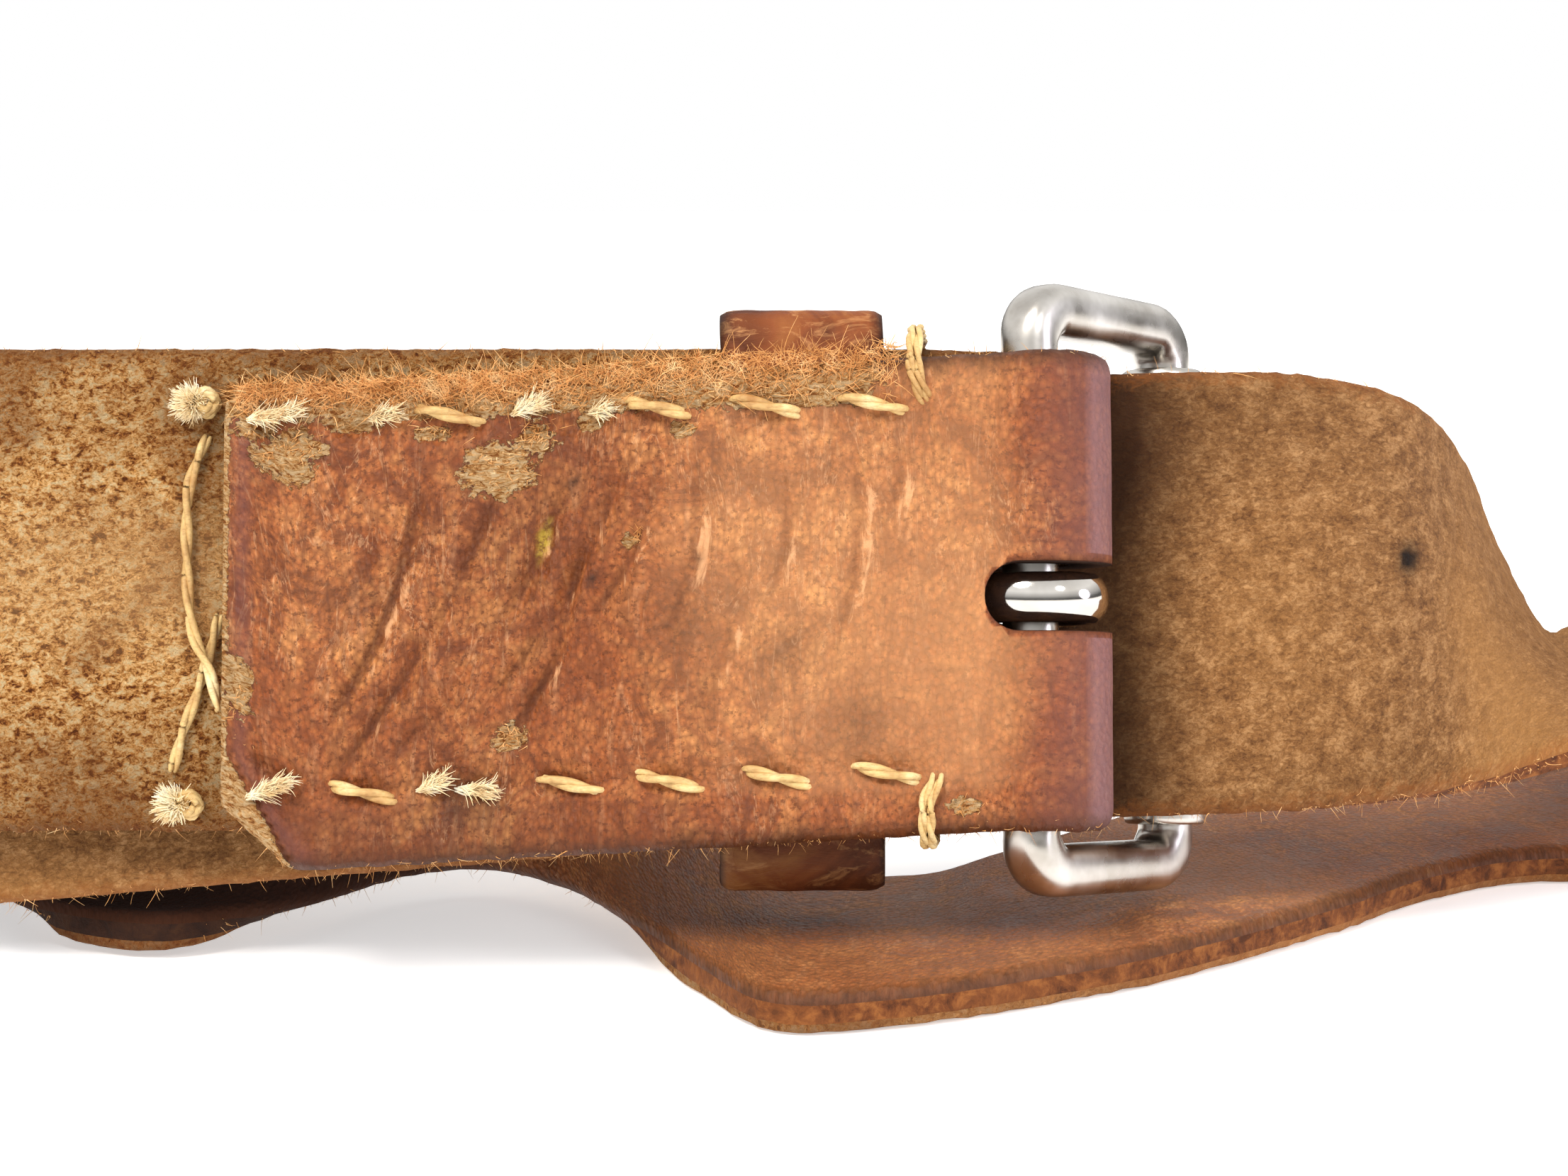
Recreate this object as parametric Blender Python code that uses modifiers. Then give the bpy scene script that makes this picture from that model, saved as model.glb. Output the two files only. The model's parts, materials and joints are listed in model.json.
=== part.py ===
"""Buckled leather guitar strap, laid in a closed loop.

One long leather strap ends in a fold that is sewn round the heel bar of a
roller buckle.  The other end, the billet, comes through the buckle, takes the
tongue in a hole and runs on behind the buckle end, through a leather keeper.

Buckle coordinates have their origin on the heel bar's axis, at mid width: x
runs along the strap, y away from the folded tab and z along the heel bar.
The buckle leans back by LEAN, which lean() adds, and stand_on_origin() then moves
the whole strap over the origin.  Sizes are in millimetres and become metres where
meshes are made.
"""
import math

import bmesh
import bpy
from mathutils import Matrix, Vector

MM = 0.001
LEAN = math.radians(11.0)

# Leather
STRAP_WIDTH = 25.8
BILLET_WIDTH = 24.4
LEATHER = 2.4
HALF_LEATHER = LEATHER / 2
GAP = 0.35

# Buckle
BAR_RADIUS = 1.45
SIDE_BAR_HALF_SPAN = 14.95
ROLLER_X = 8.2
ROLLER_Y = 9.6
ROLLER_RADIUS = 2.3
ROLLER_BORE = 1.8
ROLLER_HALF_LENGTH = 12.8
TONGUE_RADIUS = 0.9

# Buckle end of the strap
FOLD_RADIUS = BAR_RADIUS + GAP + HALF_LEATHER
TAB_END_X = -42.8
TAB_SKEW = 0.058
TAB_CHAMFER_LENGTH = 3.8
TAB_CHAMFER_HEIGHT = 3.6
BUCKLE_END_X = -62.0
BACK_LAYER_Y = 1.5
SLOT_HALF_WIDTH = 1.8

# Middle of the leather where the strap lies flat on the table
TABLE_Z = -19.7

# Keeper
KEEPER_LEFT = -16.9
KEEPER_RIGHT = -7.9
KEEPER_THICKNESS = 1.2
KEEPER_FRONT_Y = -0.6
KEEPER_BACK_Y = 6.6
KEEPER_TOP = 14.4
KEEPER_BOTTOM = -15.5

# Thread
THREAD_RADIUS = 0.4
STITCH_PITCH = 5.5
SEAM_INSET = 2.6

ACROSS = 6
SPLINE_STEPS = 5


def lean(x, y, z):
    """Buckle coordinates to the part's coordinates, both in millimetres."""
    return Vector((
        x,
        y * math.cos(LEAN) + z * math.sin(LEAN),
        z * math.cos(LEAN) - y * math.sin(LEAN),
    ))


def smooth_step(value, low, high):
    """0 below low, 1 above high, an even S between them."""
    t = min(max((value - low) / (high - low), 0.0), 1.0)
    return t * t * (3 - 2 * t)


def new_collection(name):
    collection = bpy.data.collections.new(name)
    bpy.context.scene.collection.children.link(collection)
    return collection


def make_material(name, colour, roughness, metallic):
    material = bpy.data.materials.new(name)
    material.use_nodes = True
    shader = material.node_tree.nodes["Principled BSDF"]
    shader.inputs["Base Color"].default_value = (*colour, 1.0)
    shader.inputs["Roughness"].default_value = roughness
    shader.inputs["Metallic"].default_value = metallic
    return material


def mesh_object(name, mesh, material, collection):
    obj = bpy.data.objects.new(name, mesh)
    collection.objects.link(obj)
    mesh.materials.append(material)
    mesh.shade_smooth()
    mesh.set_sharp_from_angle(angle=math.radians(40))
    return obj


def curve_to_mesh(obj):
    """Swap a curve object for a welded mesh object of the same name."""
    depsgraph = bpy.context.evaluated_depsgraph_get()
    mesh = bpy.data.meshes.new_from_object(obj.evaluated_get(depsgraph))
    name = obj.name
    matrix = obj.matrix_world.copy()
    collection = obj.users_collection[0]
    bm = bmesh.new()
    bm.from_mesh(mesh)
    bmesh.ops.remove_doubles(bm, verts=bm.verts, dist=0.01 * MM)
    bmesh.ops.recalc_face_normals(bm, faces=bm.faces)
    bm.to_mesh(mesh)
    bm.free()
    bpy.data.objects.remove(obj)
    result = bpy.data.objects.new(name, mesh)
    result.matrix_world = matrix
    collection.objects.link(result)
    return result


# ---------------------------------------------------------------- leather

def leather_sheet(name, rows, thickness, material, collection, closed=False):
    """A sheet through rows of points across the strap, thickened evenly."""
    bm = bmesh.new()
    grid = []
    for row in rows:
        line = [bowed(row, i / ACROSS) * MM for i in range(ACROSS + 1)]
        grid.append([bm.verts.new(point) for point in line])
    pairs = list(zip(grid, grid[1:]))
    if closed:
        pairs.append((grid[-1], grid[0]))
    for row, following in pairs:
        for i in range(ACROSS):
            bm.faces.new((row[i], row[i + 1], following[i + 1], following[i]))
    mesh = bpy.data.meshes.new(name)
    bm.to_mesh(mesh)
    bm.free()
    obj = mesh_object(name, mesh, material, collection)
    solidify = obj.modifiers.new("thickness", "SOLIDIFY")
    solidify.thickness = thickness * MM
    solidify.offset = 0.0
    solidify.use_even_offset = True
    return obj


def bowed(row, t):
    """A point across the strap: a row is its two edges, or edge, middle, edge.

    Leather that would dip below the table lies on it.
    """
    edge_a, middle, edge_b = with_middle(row)
    pull = 2 * middle - (edge_a + edge_b) / 2
    point = edge_a * (1 - t) ** 2 + pull * 2 * t * (1 - t) + edge_b * t ** 2
    point.z = max(point.z, TABLE_Z)
    return point


def with_middle(row):
    if len(row) == 3:
        return row
    return row[0], (row[0] + row[1]) / 2, row[1]


def spline_rows(stations):
    """Catmull-Rom rows through stations along the strap."""
    full = [with_middle(station) for station in stations]
    rows = []
    last = len(full) - 1
    for index in range(last):
        window = [full[min(max(index + k, 0), last)] for k in (-1, 0, 1, 2)]
        for step in range(SPLINE_STEPS):
            t = step / SPLINE_STEPS
            rows.append(tuple(catmull_rom([row[k] for row in window], t) for k in range(3)))
    rows.append(full[last])
    return rows


def catmull_rom(points, t):
    before, start, end, after = points
    linear = (end - before) * t
    square = (2 * before - 5 * start + 4 * end - after) * t ** 2
    cube = (3 * start - before - 3 * end + after) * t ** 3
    return start + (linear + square + cube) / 2


def tab_depth(x):
    """Middle of the tab's thickness: it steps down past the keeper."""
    over_keeper = -(FOLD_RADIUS - 0.15)
    on_strap = BACK_LAYER_Y - LEATHER - GAP
    return over_keeper + (on_strap - over_keeper) * smooth_step(-x, 18.0, 26.0)


def tab_row(x):
    """Edges of the folded tab, whose free end has a cut lower corner."""
    centre = TAB_SKEW * x
    half = STRAP_WIDTH / 2 - 0.25
    cut = max(0.0, 1 - (x - TAB_END_X) / TAB_CHAMFER_LENGTH) * TAB_CHAMFER_HEIGHT
    y = tab_depth(x)
    return lean(x, y, centre - half + cut), lean(x, y, centre + half)


def back_layer_row(x):
    half = STRAP_WIDTH / 2
    depth = FOLD_RADIUS + (BACK_LAYER_Y - FOLD_RADIUS) * smooth_step(-x, 0.0, 7.0)
    return lean(x, depth, -half), lean(x, depth, half)


def fold_row(angle):
    half = STRAP_WIDTH / 2 - 0.15
    x = FOLD_RADIUS * math.cos(angle)
    y = FOLD_RADIUS * math.sin(angle)
    return lean(x, y, -half), lean(x, y, half)


def buckle_end_rows():
    tab_xs = [TAB_END_X, -41.5, -40.2, -39.0, -34.0, -28.0]
    tab_xs += [-26.0, -24.0, -22.0, -20.0, -18.0, -12.0, -8.0, -5.0, -2.5]
    rows = [tab_row(x) for x in tab_xs]
    rows += [fold_row(math.radians(-90 + 18 * i)) for i in range(11)]
    layer_xs = [-1.5, -3.0, -4.5, -6.0, -8.0, -20.0, -34.0, -48.0, BUCKLE_END_X]
    rows += [back_layer_row(x) for x in layer_xs]
    return rows


def left_bend_stations():
    """The strap on edge, turning back behind itself and down to the table."""
    half = STRAP_WIDTH / 2
    centre_x = -70.0
    radius = 20.0
    stations = [back_layer_row(BUCKLE_END_X - 0.6), back_layer_row(-67.0)]
    for step in range(1, 7):
        turn = math.pi * step / 6
        x = centre_x - radius * math.sin(turn)
        y = BACK_LAYER_Y + radius * (1 - math.cos(turn))
        drop = -7.6 * smooth_step(turn, 0.0, 2.4)
        tip = math.sin(LEAN) * half * (1 - smooth_step(turn, 0.0, 1.6))
        stations.append((
            Vector((x, y - tip, drop - half + 0.2)),
            Vector((x, y + tip, drop + half - 0.2)),
        ))
    return stations


def back_run_stations():
    """Behind the buckle: still on edge, its lower edge swinging forward."""
    return [
        (Vector((-69.0, 41.2, TABLE_Z + 0.5)), Vector((-69.0, 42.0, 6.4))),
        (Vector((-64.0, 37.4, TABLE_Z + 0.5)), Vector((-64.6, 40.4, 5.2))),
        (Vector((-61.4, 26.0, TABLE_Z + 0.5)), Vector((-62.4, 32.0, 4.0))),
        (Vector((-59.0, 13.0, TABLE_Z + 0.4)), Vector((-59.8, 18.2, -8.5)), Vector((-60.6, 25.6, 2.6))),
        (Vector((-54.0, 4.5, TABLE_Z + 0.4)), Vector((-54.8, 11.0, -14.0)), Vector((-55.5, 18.0, 0.5))),
        (Vector((-46.6, 1.8, TABLE_Z + 0.4)), Vector((-47.0, 8.9, -14.6)), Vector((-47.5, 16.4, -0.5))),
        (Vector((-40.6, 7.0, TABLE_Z + 0.5)), Vector((-41.2, 11.6, -9.5)), Vector((-41.8, 17.4, 1.8))),
        (Vector((-36.6, 13.0, TABLE_Z + 0.6)), Vector((-37.4, 18.2, 4.0))),
    ]


def floor_run_stations():
    """Falls flat, grain side up, and passes beneath the buckle."""
    return [
        (Vector((-35.4, 14.2, TABLE_Z + 0.6)), Vector((-36.2, 19.4, 4.0))),
        (Vector((-30.6, 15.6, TABLE_Z + 0.5)), Vector((-31.4, 22.6, 3.4))),
        (Vector((-25.0, 10.6, TABLE_Z + 0.3)), Vector((-26.4, 17.6, -11.6)), Vector((-27.6, 24.0, 0.0))),
        (Vector((-21.2, 2.6, TABLE_Z + 0.1)), Vector((-22.4, 12.4, -15.8)), Vector((-23.6, 22.0, -7.4))),
        (Vector((-17.6, -5.8, TABLE_Z)), Vector((-17.8, 6.4, -18.9)), Vector((-18.4, 17.8, -15.2))),
        (Vector((-13.8, -12.2, TABLE_Z)), Vector((-12.6, 12.4, TABLE_Z))),
        (Vector((-7.5, -11.4, TABLE_Z)), Vector((-5.0, 13.0, TABLE_Z))),
        (Vector((0.5, -7.4, TABLE_Z)), Vector((-1.0, 17.4, TABLE_Z))),
        (Vector((7.7, -2.6, TABLE_Z)), Vector((3.0, 22.0, TABLE_Z))),
        (Vector((17.8, 6.4, TABLE_Z)), Vector((9.6, 30.0, TABLE_Z))),
        (Vector((25.0, 14.0, TABLE_Z)), Vector((17.0, 37.4, TABLE_Z))),
        (Vector((33.0, 18.6, TABLE_Z)), Vector((28.0, 42.8, TABLE_Z))),
        (Vector((44.0, 17.5, TABLE_Z)), Vector((42.0, 42.5, TABLE_Z))),
    ]


def right_bend_stations():
    """A hairpin that lifts the strap off the table and turns it back."""
    radius = 6.6
    top = TABLE_Z + 2 * radius
    stations = [(Vector((44.9, 17.7, TABLE_Z)), Vector((42.9, 42.6, TABLE_Z)))]
    for step in range(7):
        turn = math.pi * step / 6
        x = 50.0 + radius * math.sin(turn)
        z = TABLE_Z + radius * (1 - math.cos(turn))
        stations.append((Vector((x, 18.0, z)), Vector((x, 43.0, z))))
    stations.append((Vector((44.6, 16.4, top - 0.8)), Vector((44.6, 41.3, top - 0.4))))
    return stations


def billet_stations():
    """Flat, then twisting up on edge to enter the buckle from behind."""
    half = BILLET_WIDTH / 2
    stations = [
        (Vector((44.0, 16.2, -7.6)), Vector((44.0, 41.1, -7.2))),
        (Vector((36.0, 12.0, -10.2)), Vector((37.0, 36.5, -9.0))),
        (Vector((29.8, 9.0, -11.6)), Vector((32.0, 32.0, -2.5))),
        (Vector((25.0, 6.4, -12.2)), Vector((27.4, 23.5, 4.6))),
        (Vector((20.0, 4.8, -12.6)), Vector((22.0, 13.6, 8.9))),
        (Vector((15.0, 4.0, -12.9)), Vector((15.6, 9.6, 10.6))),
    ]
    buckle_path = (
        (8.4, 5.75, 0.0),
        (4.0, 6.1, -0.1),
        (0.0, 6.2, -0.2),
        (-3.5, 5.7, -0.5),
        (-7.5, 4.75, -0.8),
        (-12.0, 4.45, -1.2),
        (-24.0, 4.4, -2.1),
        (-40.0, 4.4, -3.4),
        (-52.0, 4.4, -4.4),
    )
    for x, y, centre in buckle_path:
        stations.append((lean(x, y, centre - half), lean(x, y, centre + half)))
    return stations


def billet_tip_stations():
    """The tail narrows to a rounded point."""
    start = -56.0
    length = 8.0
    stations = []
    for step in range(6):
        t = step / 5
        half = BILLET_WIDTH / 2 * math.sqrt(1 - 0.93 * t ** 2)
        x = start - length * t
        centre = -4.7 - 0.7 * t
        stations.append((lean(x, 4.4, centre - half), lean(x, 4.4, centre + half)))
    return stations


def slot_cutter(name, x_end, x_open, y_low, y_high, half_width, round_both, collection):
    """A slot with a round end, as deep as y_low to y_high."""
    bm = bmesh.new()
    outline = []
    for step in range(13):
        angle = math.pi / 2 + math.pi * step / 12
        outline.append((
            x_end + half_width + half_width * math.cos(angle),
            half_width * math.sin(angle),
        ))
    if round_both:
        for step in range(13):
            angle = -math.pi / 2 + math.pi * step / 12
            outline.append((
                x_open - half_width + half_width * math.cos(angle),
                half_width * math.sin(angle),
            ))
    else:
        outline += [(x_open, -half_width), (x_open, half_width)]
    base = [bm.verts.new(lean(x, y_low, z) * MM) for x, z in outline]
    face = bm.faces.new(base)
    grown = bmesh.ops.extrude_face_region(bm, geom=[face])
    moved = [item for item in grown["geom"] if isinstance(item, bmesh.types.BMVert)]
    depth = (lean(0, y_high, 0) - lean(0, y_low, 0)) * MM
    bmesh.ops.translate(bm, vec=depth, verts=moved)
    bmesh.ops.recalc_face_normals(bm, faces=bm.faces)
    mesh = bpy.data.meshes.new(name)
    bm.to_mesh(mesh)
    bm.free()
    cutter = bpy.data.objects.new(name, mesh)
    collection.objects.link(cutter)
    cutter.hide_render = True
    cutter.display_type = "WIRE"
    return cutter


def cut(obj, cutter):
    boolean = obj.modifiers.new(cutter.name, "BOOLEAN")
    boolean.operation = "DIFFERENCE"
    boolean.solver = "EXACT"
    boolean.object = cutter


def keeper_rows():
    """A flat band bent into a rounded rectangle round both strap layers."""
    corner = 1.7
    corners = (
        (KEEPER_BACK_Y - corner, KEEPER_TOP - corner, 0),
        (KEEPER_FRONT_Y + corner, KEEPER_TOP - corner, 90),
        (KEEPER_FRONT_Y + corner, KEEPER_BOTTOM + corner, 180),
        (KEEPER_BACK_Y - corner, KEEPER_BOTTOM + corner, 270),
    )
    rows = []
    for y, z, first in corners:
        for step in range(4):
            angle = math.radians(first + 30 * step)
            edge_y = y + corner * math.cos(angle)
            edge_z = z + corner * math.sin(angle)
            rows.append((
                lean(KEEPER_LEFT, edge_y, edge_z),
                lean(KEEPER_RIGHT, edge_y, edge_z),
            ))
    return rows


# ---------------------------------------------------------------- tubes

def tube(name, points, radius, material, collection, cyclic=False, sides=2):
    """A round wire along points, with filled ends."""
    curve = bpy.data.curves.new(name, "CURVE")
    curve.dimensions = "3D"
    curve.bevel_depth = radius * MM
    curve.bevel_resolution = sides
    curve.use_fill_caps = not cyclic
    spline = curve.splines.new("POLY")
    spline.points.add(len(points) - 1)
    for target, point in zip(spline.points, points):
        target.co = (*(point * MM), 1.0)
    spline.use_cyclic_u = cyclic
    obj = bpy.data.objects.new(name, curve)
    collection.objects.link(obj)
    bpy.context.view_layer.update()
    result = curve_to_mesh(obj)
    result.data.materials.append(material)
    result.data.shade_smooth()
    result.data.set_sharp_from_angle(angle=math.radians(50))
    return result


def put_origin_at(obj, origin):
    """Move an object's origin to a point without moving its mesh."""
    shift = origin * MM
    obj.data.transform(Matrix.Translation(-shift))
    obj.location = shift


def rounded_frame_points():
    """Centre line of the buckle frame, in its own tilted plane."""
    length = math.hypot(ROLLER_X, ROLLER_Y)
    direction = (ROLLER_X / length, ROLLER_Y / length)
    span = SIDE_BAR_HALF_SPAN
    corners = (
        (length, span, 2.4, 0),
        (0.0, span, 3.0, 90),
        (0.0, -span, 3.0, 180),
        (length, -span, 2.4, 270),
    )
    points = []
    for along, across, radius, first in corners:
        inward = -1 if along > 0 else 1
        centre_along = along + inward * radius
        centre_across = across - math.copysign(radius, across)
        for step in range(6):
            angle = math.radians(first + 18 * step)
            u = centre_along + radius * math.cos(angle)
            z = centre_across + radius * math.sin(angle)
            points.append(lean(u * direction[0], u * direction[1], z))
    return points


def tongue_points():
    """A loop round the heel bar, then a shank past the roller's far side."""
    heading = math.atan2(ROLLER_Y, ROLLER_X)
    loop_radius = BAR_RADIUS + 0.2 + TONGUE_RADIUS
    bulge = 0.45
    points = []
    start = heading + math.radians(68)
    for step in range(21):
        angle = start - math.radians(338) * (1 - step / 20)
        radius = loop_radius + bulge * max(0.0, math.cos(angle)) + 0.012 * (20 - step)
        points.append(lean(radius * math.cos(angle), radius * math.sin(angle), 0.0))
    side = Vector((-math.sin(heading), math.cos(heading)))
    along = Vector((math.cos(heading), math.sin(heading)))
    reach = math.hypot(ROLLER_X, ROLLER_Y)
    clear = ROLLER_RADIUS + GAP + TONGUE_RADIUS
    for distance, offset in ((4.0, 2.85), (8.0, 3.2), (reach, clear), (reach + 2.6, clear - 0.35)):
        flat = along * distance + side * offset
        points.append(lean(flat.x, flat.y, 0.0))
    return points


def make_roller(material, collection):
    """A tube turned about the roller bar."""
    bm = bmesh.new()
    profile = (
        (ROLLER_RADIUS - 0.25, ROLLER_HALF_LENGTH),
        (ROLLER_RADIUS, ROLLER_HALF_LENGTH - 0.25),
        (ROLLER_RADIUS, -ROLLER_HALF_LENGTH + 0.25),
        (ROLLER_RADIUS - 0.25, -ROLLER_HALF_LENGTH),
        (ROLLER_BORE, -ROLLER_HALF_LENGTH),
        (ROLLER_BORE, ROLLER_HALF_LENGTH),
    )
    verts = [bm.verts.new((radius * MM, 0.0, z * MM)) for radius, z in profile]
    for index, vert in enumerate(verts):
        bm.edges.new((vert, verts[(index + 1) % len(verts)]))
    mesh = bpy.data.meshes.new("buckle_roller")
    bm.to_mesh(mesh)
    bm.free()
    obj = mesh_object("buckle_roller", mesh, material, collection)
    screw = obj.modifiers.new("turned", "SCREW")
    screw.steps = 28
    screw.render_steps = 28
    screw.use_merge_vertices = True
    screw.merge_threshold = 0.00001
    obj.location = lean(ROLLER_X, ROLLER_Y, 0.0) * MM
    obj.rotation_euler = (-LEAN, 0.0, 0.0)
    return obj


# ---------------------------------------------------------------- thread

def seam_points(side, x_start, x_end):
    """Slanted stitches along one seam, resting just off the tab."""
    half = STRAP_WIDTH / 2 - 0.25
    points = []
    count = round((x_end - x_start) / STITCH_PITCH * 6)
    for step in range(count + 1):
        x = x_start + (x_end - x_start) * step / count
        phase = 2 * math.pi * (x - x_start) / STITCH_PITCH
        z = TAB_SKEW * x + side * (half - SEAM_INSET) - 0.35 * math.sin(phase)
        y = tab_depth(x) - HALF_LEATHER - GAP - THREAD_RADIUS
        points.append(lean(x, y, z))
    return points


def edge_wrap_points(side, x):
    """The seam's last stitch, carried over the strap's edge."""
    front = tab_depth(x) - HALF_LEATHER - GAP - THREAD_RADIUS
    back = BACK_LAYER_Y + HALF_LEATHER
    edge = side * (STRAP_WIDTH / 2 + GAP + THREAD_RADIUS)
    return [
        lean(x, front, side * (STRAP_WIDTH / 2 - SEAM_INSET + 0.4)),
        lean(x, front, side * (STRAP_WIDTH / 2 - 0.4)),
        lean(x + 0.1, front + 0.4, edge - side * 0.3),
        lean(x + 0.2, front + 1.0, edge),
        lean(x + 0.3, 0.0, edge),
        lean(x + 0.3, back, edge),
    ]


def make_threads(material, collection):
    tube("thread_upper_seam", seam_points(1, -40.0, -9.0), THREAD_RADIUS, material, collection)
    tube("thread_lower_seam", seam_points(-1, -36.0, -9.0), THREAD_RADIUS, material, collection)
    tube("thread_upper_edge_wrap", edge_wrap_points(1, -6.4), THREAD_RADIUS, material, collection)
    tube("thread_lower_edge_wrap", edge_wrap_points(-1, -5.8), THREAD_RADIUS, material, collection)
    off_strap = BACK_LAYER_Y - HALF_LEATHER - GAP - THREAD_RADIUS
    long_run = ((-44.1, 7.6), (-45.0, 5.2), (-45.1, 1.2), (-44.9, -1.4), (-44.2, -3.4), (-43.6, -6.4))
    short_run = ((-43.4, -1.5), (-44.6, -5.2), (-45.3, -8.2), (-45.7, -9.6))
    for name, run, depth in (
        ("thread_loose_long", long_run, off_strap),
        ("thread_loose_short", short_run, off_strap - 2 * THREAD_RADIUS - 0.1),
    ):
        points = [lean(x, depth, z) for x, z in run]
        tube(name, points, THREAD_RADIUS * 0.8, material, collection)


def make_knot(name, x, z, material, collection):
    """A pressed lump of knotted thread on the strap's flesh side."""
    size = (1.2, 0.9, 1.2)
    depth = BACK_LAYER_Y - HALF_LEATHER - GAP - size[1]
    bm = bmesh.new()
    bmesh.ops.create_icosphere(bm, subdivisions=2, radius=MM)
    bmesh.ops.scale(bm, vec=size, verts=bm.verts)
    mesh = bpy.data.meshes.new(name)
    bm.to_mesh(mesh)
    bm.free()
    knot = mesh_object(name, mesh, material, collection)
    knot.location = lean(x, depth, z) * MM
    knot.rotation_euler = (-LEAN, 0.0, 0.0)


# ---------------------------------------------------------------- build

def stand_on_origin(parts, cutters):
    """Put the origin on the table, under the middle of the whole loop."""
    bpy.context.view_layer.update()
    depsgraph = bpy.context.evaluated_depsgraph_get()
    points = []
    for obj in parts.objects:
        evaluated = obj.evaluated_get(depsgraph)
        points += [evaluated.matrix_world @ vert.co for vert in evaluated.data.vertices]
    low = Vector([min(point[axis] for point in points) for axis in range(3)])
    high = Vector([max(point[axis] for point in points) for axis in range(3)])
    base = Vector(((low.x + high.x) / 2, (low.y + high.y) / 2, low.z))
    for obj in (*parts.objects, *cutters.objects):
        obj.location -= base
    bpy.context.view_layer.update()


def build():
    for obj in list(bpy.data.objects):
        bpy.data.objects.remove(obj)
    parts = new_collection("guitar_strap")
    cutters = new_collection("cutters")
    flesh = make_material("flesh_side_leather", (0.42, 0.22, 0.10), 0.85, 0.0)
    grain = make_material("grain_leather", (0.36, 0.15, 0.06), 0.45, 0.0)
    plated = make_material("plated_steel", (0.62, 0.60, 0.57), 0.2, 1.0)
    waxed = make_material("waxed_thread", (0.75, 0.58, 0.32), 0.6, 0.0)

    buckle_end = leather_sheet("strap_buckle_end", buckle_end_rows(), LEATHER, grain, parts)
    cut(buckle_end, slot_cutter(
        "tab_slot_cutter", -3.4, 7.0, -7.0, 0.05, SLOT_HALF_WIDTH, False, cutters))
    cut(buckle_end, slot_cutter(
        "back_slot_cutter", -6.8, 7.0, -0.05, 7.0, SLOT_HALF_WIDTH, False, cutters))

    loop_nodes = (
        ("strap_left_bend", left_bend_stations()),
        ("strap_back_run", back_run_stations()),
        ("strap_floor_run", floor_run_stations()),
        ("strap_right_bend", right_bend_stations()),
    )
    for name, stations in loop_nodes:
        leather_sheet(name, spline_rows(stations), LEATHER, flesh, parts)
    billet_rows = spline_rows(billet_stations() + billet_tip_stations())
    billet = leather_sheet("strap_billet", billet_rows, LEATHER, flesh, parts)
    cut(billet, slot_cutter(
        "tongue_hole_cutter", -3.4, 4.2, 2.0, 9.0, 1.35, True, cutters))

    leather_sheet("keeper_loop", keeper_rows(), KEEPER_THICKNESS, grain, parts, closed=True)

    frame = tube(
        "buckle_frame", rounded_frame_points(), BAR_RADIUS, plated, parts, cyclic=True, sides=4)
    put_origin_at(frame, lean(0.0, 0.0, 0.0))
    tongue = tube("buckle_tongue", tongue_points(), TONGUE_RADIUS, plated, parts, sides=3)
    put_origin_at(tongue, lean(0.0, 0.0, 0.0))
    make_roller(plated, parts)

    make_threads(waxed, parts)
    make_knot("knot_upper", -44.6, 9.7, waxed, parts)
    make_knot("knot_lower", -45.6, -11.3, waxed, parts)
    stand_on_origin(parts, cutters)


build()
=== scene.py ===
"""Looks of the buckled leather guitar strap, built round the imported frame.

Buckle coordinates are millimetres from the heel bar's axis: x along the strap,
y away from the folded tab, z along the heel bar.  to_world() turns them into
the frame's metres.
"""

import json
import math
import random

import bmesh
import bpy
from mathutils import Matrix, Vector, noise


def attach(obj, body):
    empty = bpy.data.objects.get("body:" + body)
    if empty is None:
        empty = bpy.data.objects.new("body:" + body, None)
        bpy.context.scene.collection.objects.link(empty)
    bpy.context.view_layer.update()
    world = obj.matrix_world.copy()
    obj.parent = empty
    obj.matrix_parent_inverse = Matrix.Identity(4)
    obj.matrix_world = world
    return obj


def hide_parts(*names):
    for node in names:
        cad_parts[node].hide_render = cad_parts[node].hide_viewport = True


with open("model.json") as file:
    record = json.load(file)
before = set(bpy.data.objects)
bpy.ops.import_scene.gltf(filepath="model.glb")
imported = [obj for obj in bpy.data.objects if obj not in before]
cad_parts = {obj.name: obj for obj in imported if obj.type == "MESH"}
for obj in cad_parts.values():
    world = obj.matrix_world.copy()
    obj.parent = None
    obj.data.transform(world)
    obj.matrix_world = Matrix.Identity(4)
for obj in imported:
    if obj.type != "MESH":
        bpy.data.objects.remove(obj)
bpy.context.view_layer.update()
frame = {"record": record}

MM = 0.001
JOINTS = {joint["name"]: joint for joint in frame["record"]["behaviour"]["joints"]}
HEEL = Vector(JOINTS["frame_tilt"]["pos_m"])
ROLLER = Vector(JOINTS["roller_spin"]["pos_m"])
AXIS = Vector(JOINTS["frame_tilt"]["axis"])
LEAN = math.atan2(AXIS.y, AXIS.z)
BARS_APART = (ROLLER - HEEL).length / MM
FRAME_HEADING = math.atan2(9.6, 8.2)

STRAP_WIDTH = 25.8
BILLET_WIDTH = 24.4
LEATHER = 2.3
HALF_LEATHER = LEATHER / 2
BACK_LAYER_Y = 1.5
FOLD_RADIUS = 3.0
FOLD_LENGTH = 5.0
TONGUE_Z = -0.6
SLOT_HALF_WIDTH = 1.8
TAB_END_X = -42.8
TAB_LENGTH = -TAB_END_X
TAB_SKEW = 0.058
CORNER_CUT = 3.6
TABLE_Z = 1.2 - HEEL.z / MM
STITCH_PITCH = 5.5
STITCH_LENGTH = 3.7
BAR_RADIUS = 1.45

# Steps across the strap, and the spacing of rows along it.
ACROSS = 54
FINE_ROWS = 0.42
COARSE_ROWS = 0.85


def lean(x, y, z):
    """Buckle coordinates to upright millimetres from the heel bar."""
    return Vector((
        x,
        y * math.cos(LEAN) + z * math.sin(LEAN),
        z * math.cos(LEAN) - y * math.sin(LEAN),
    ))


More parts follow.
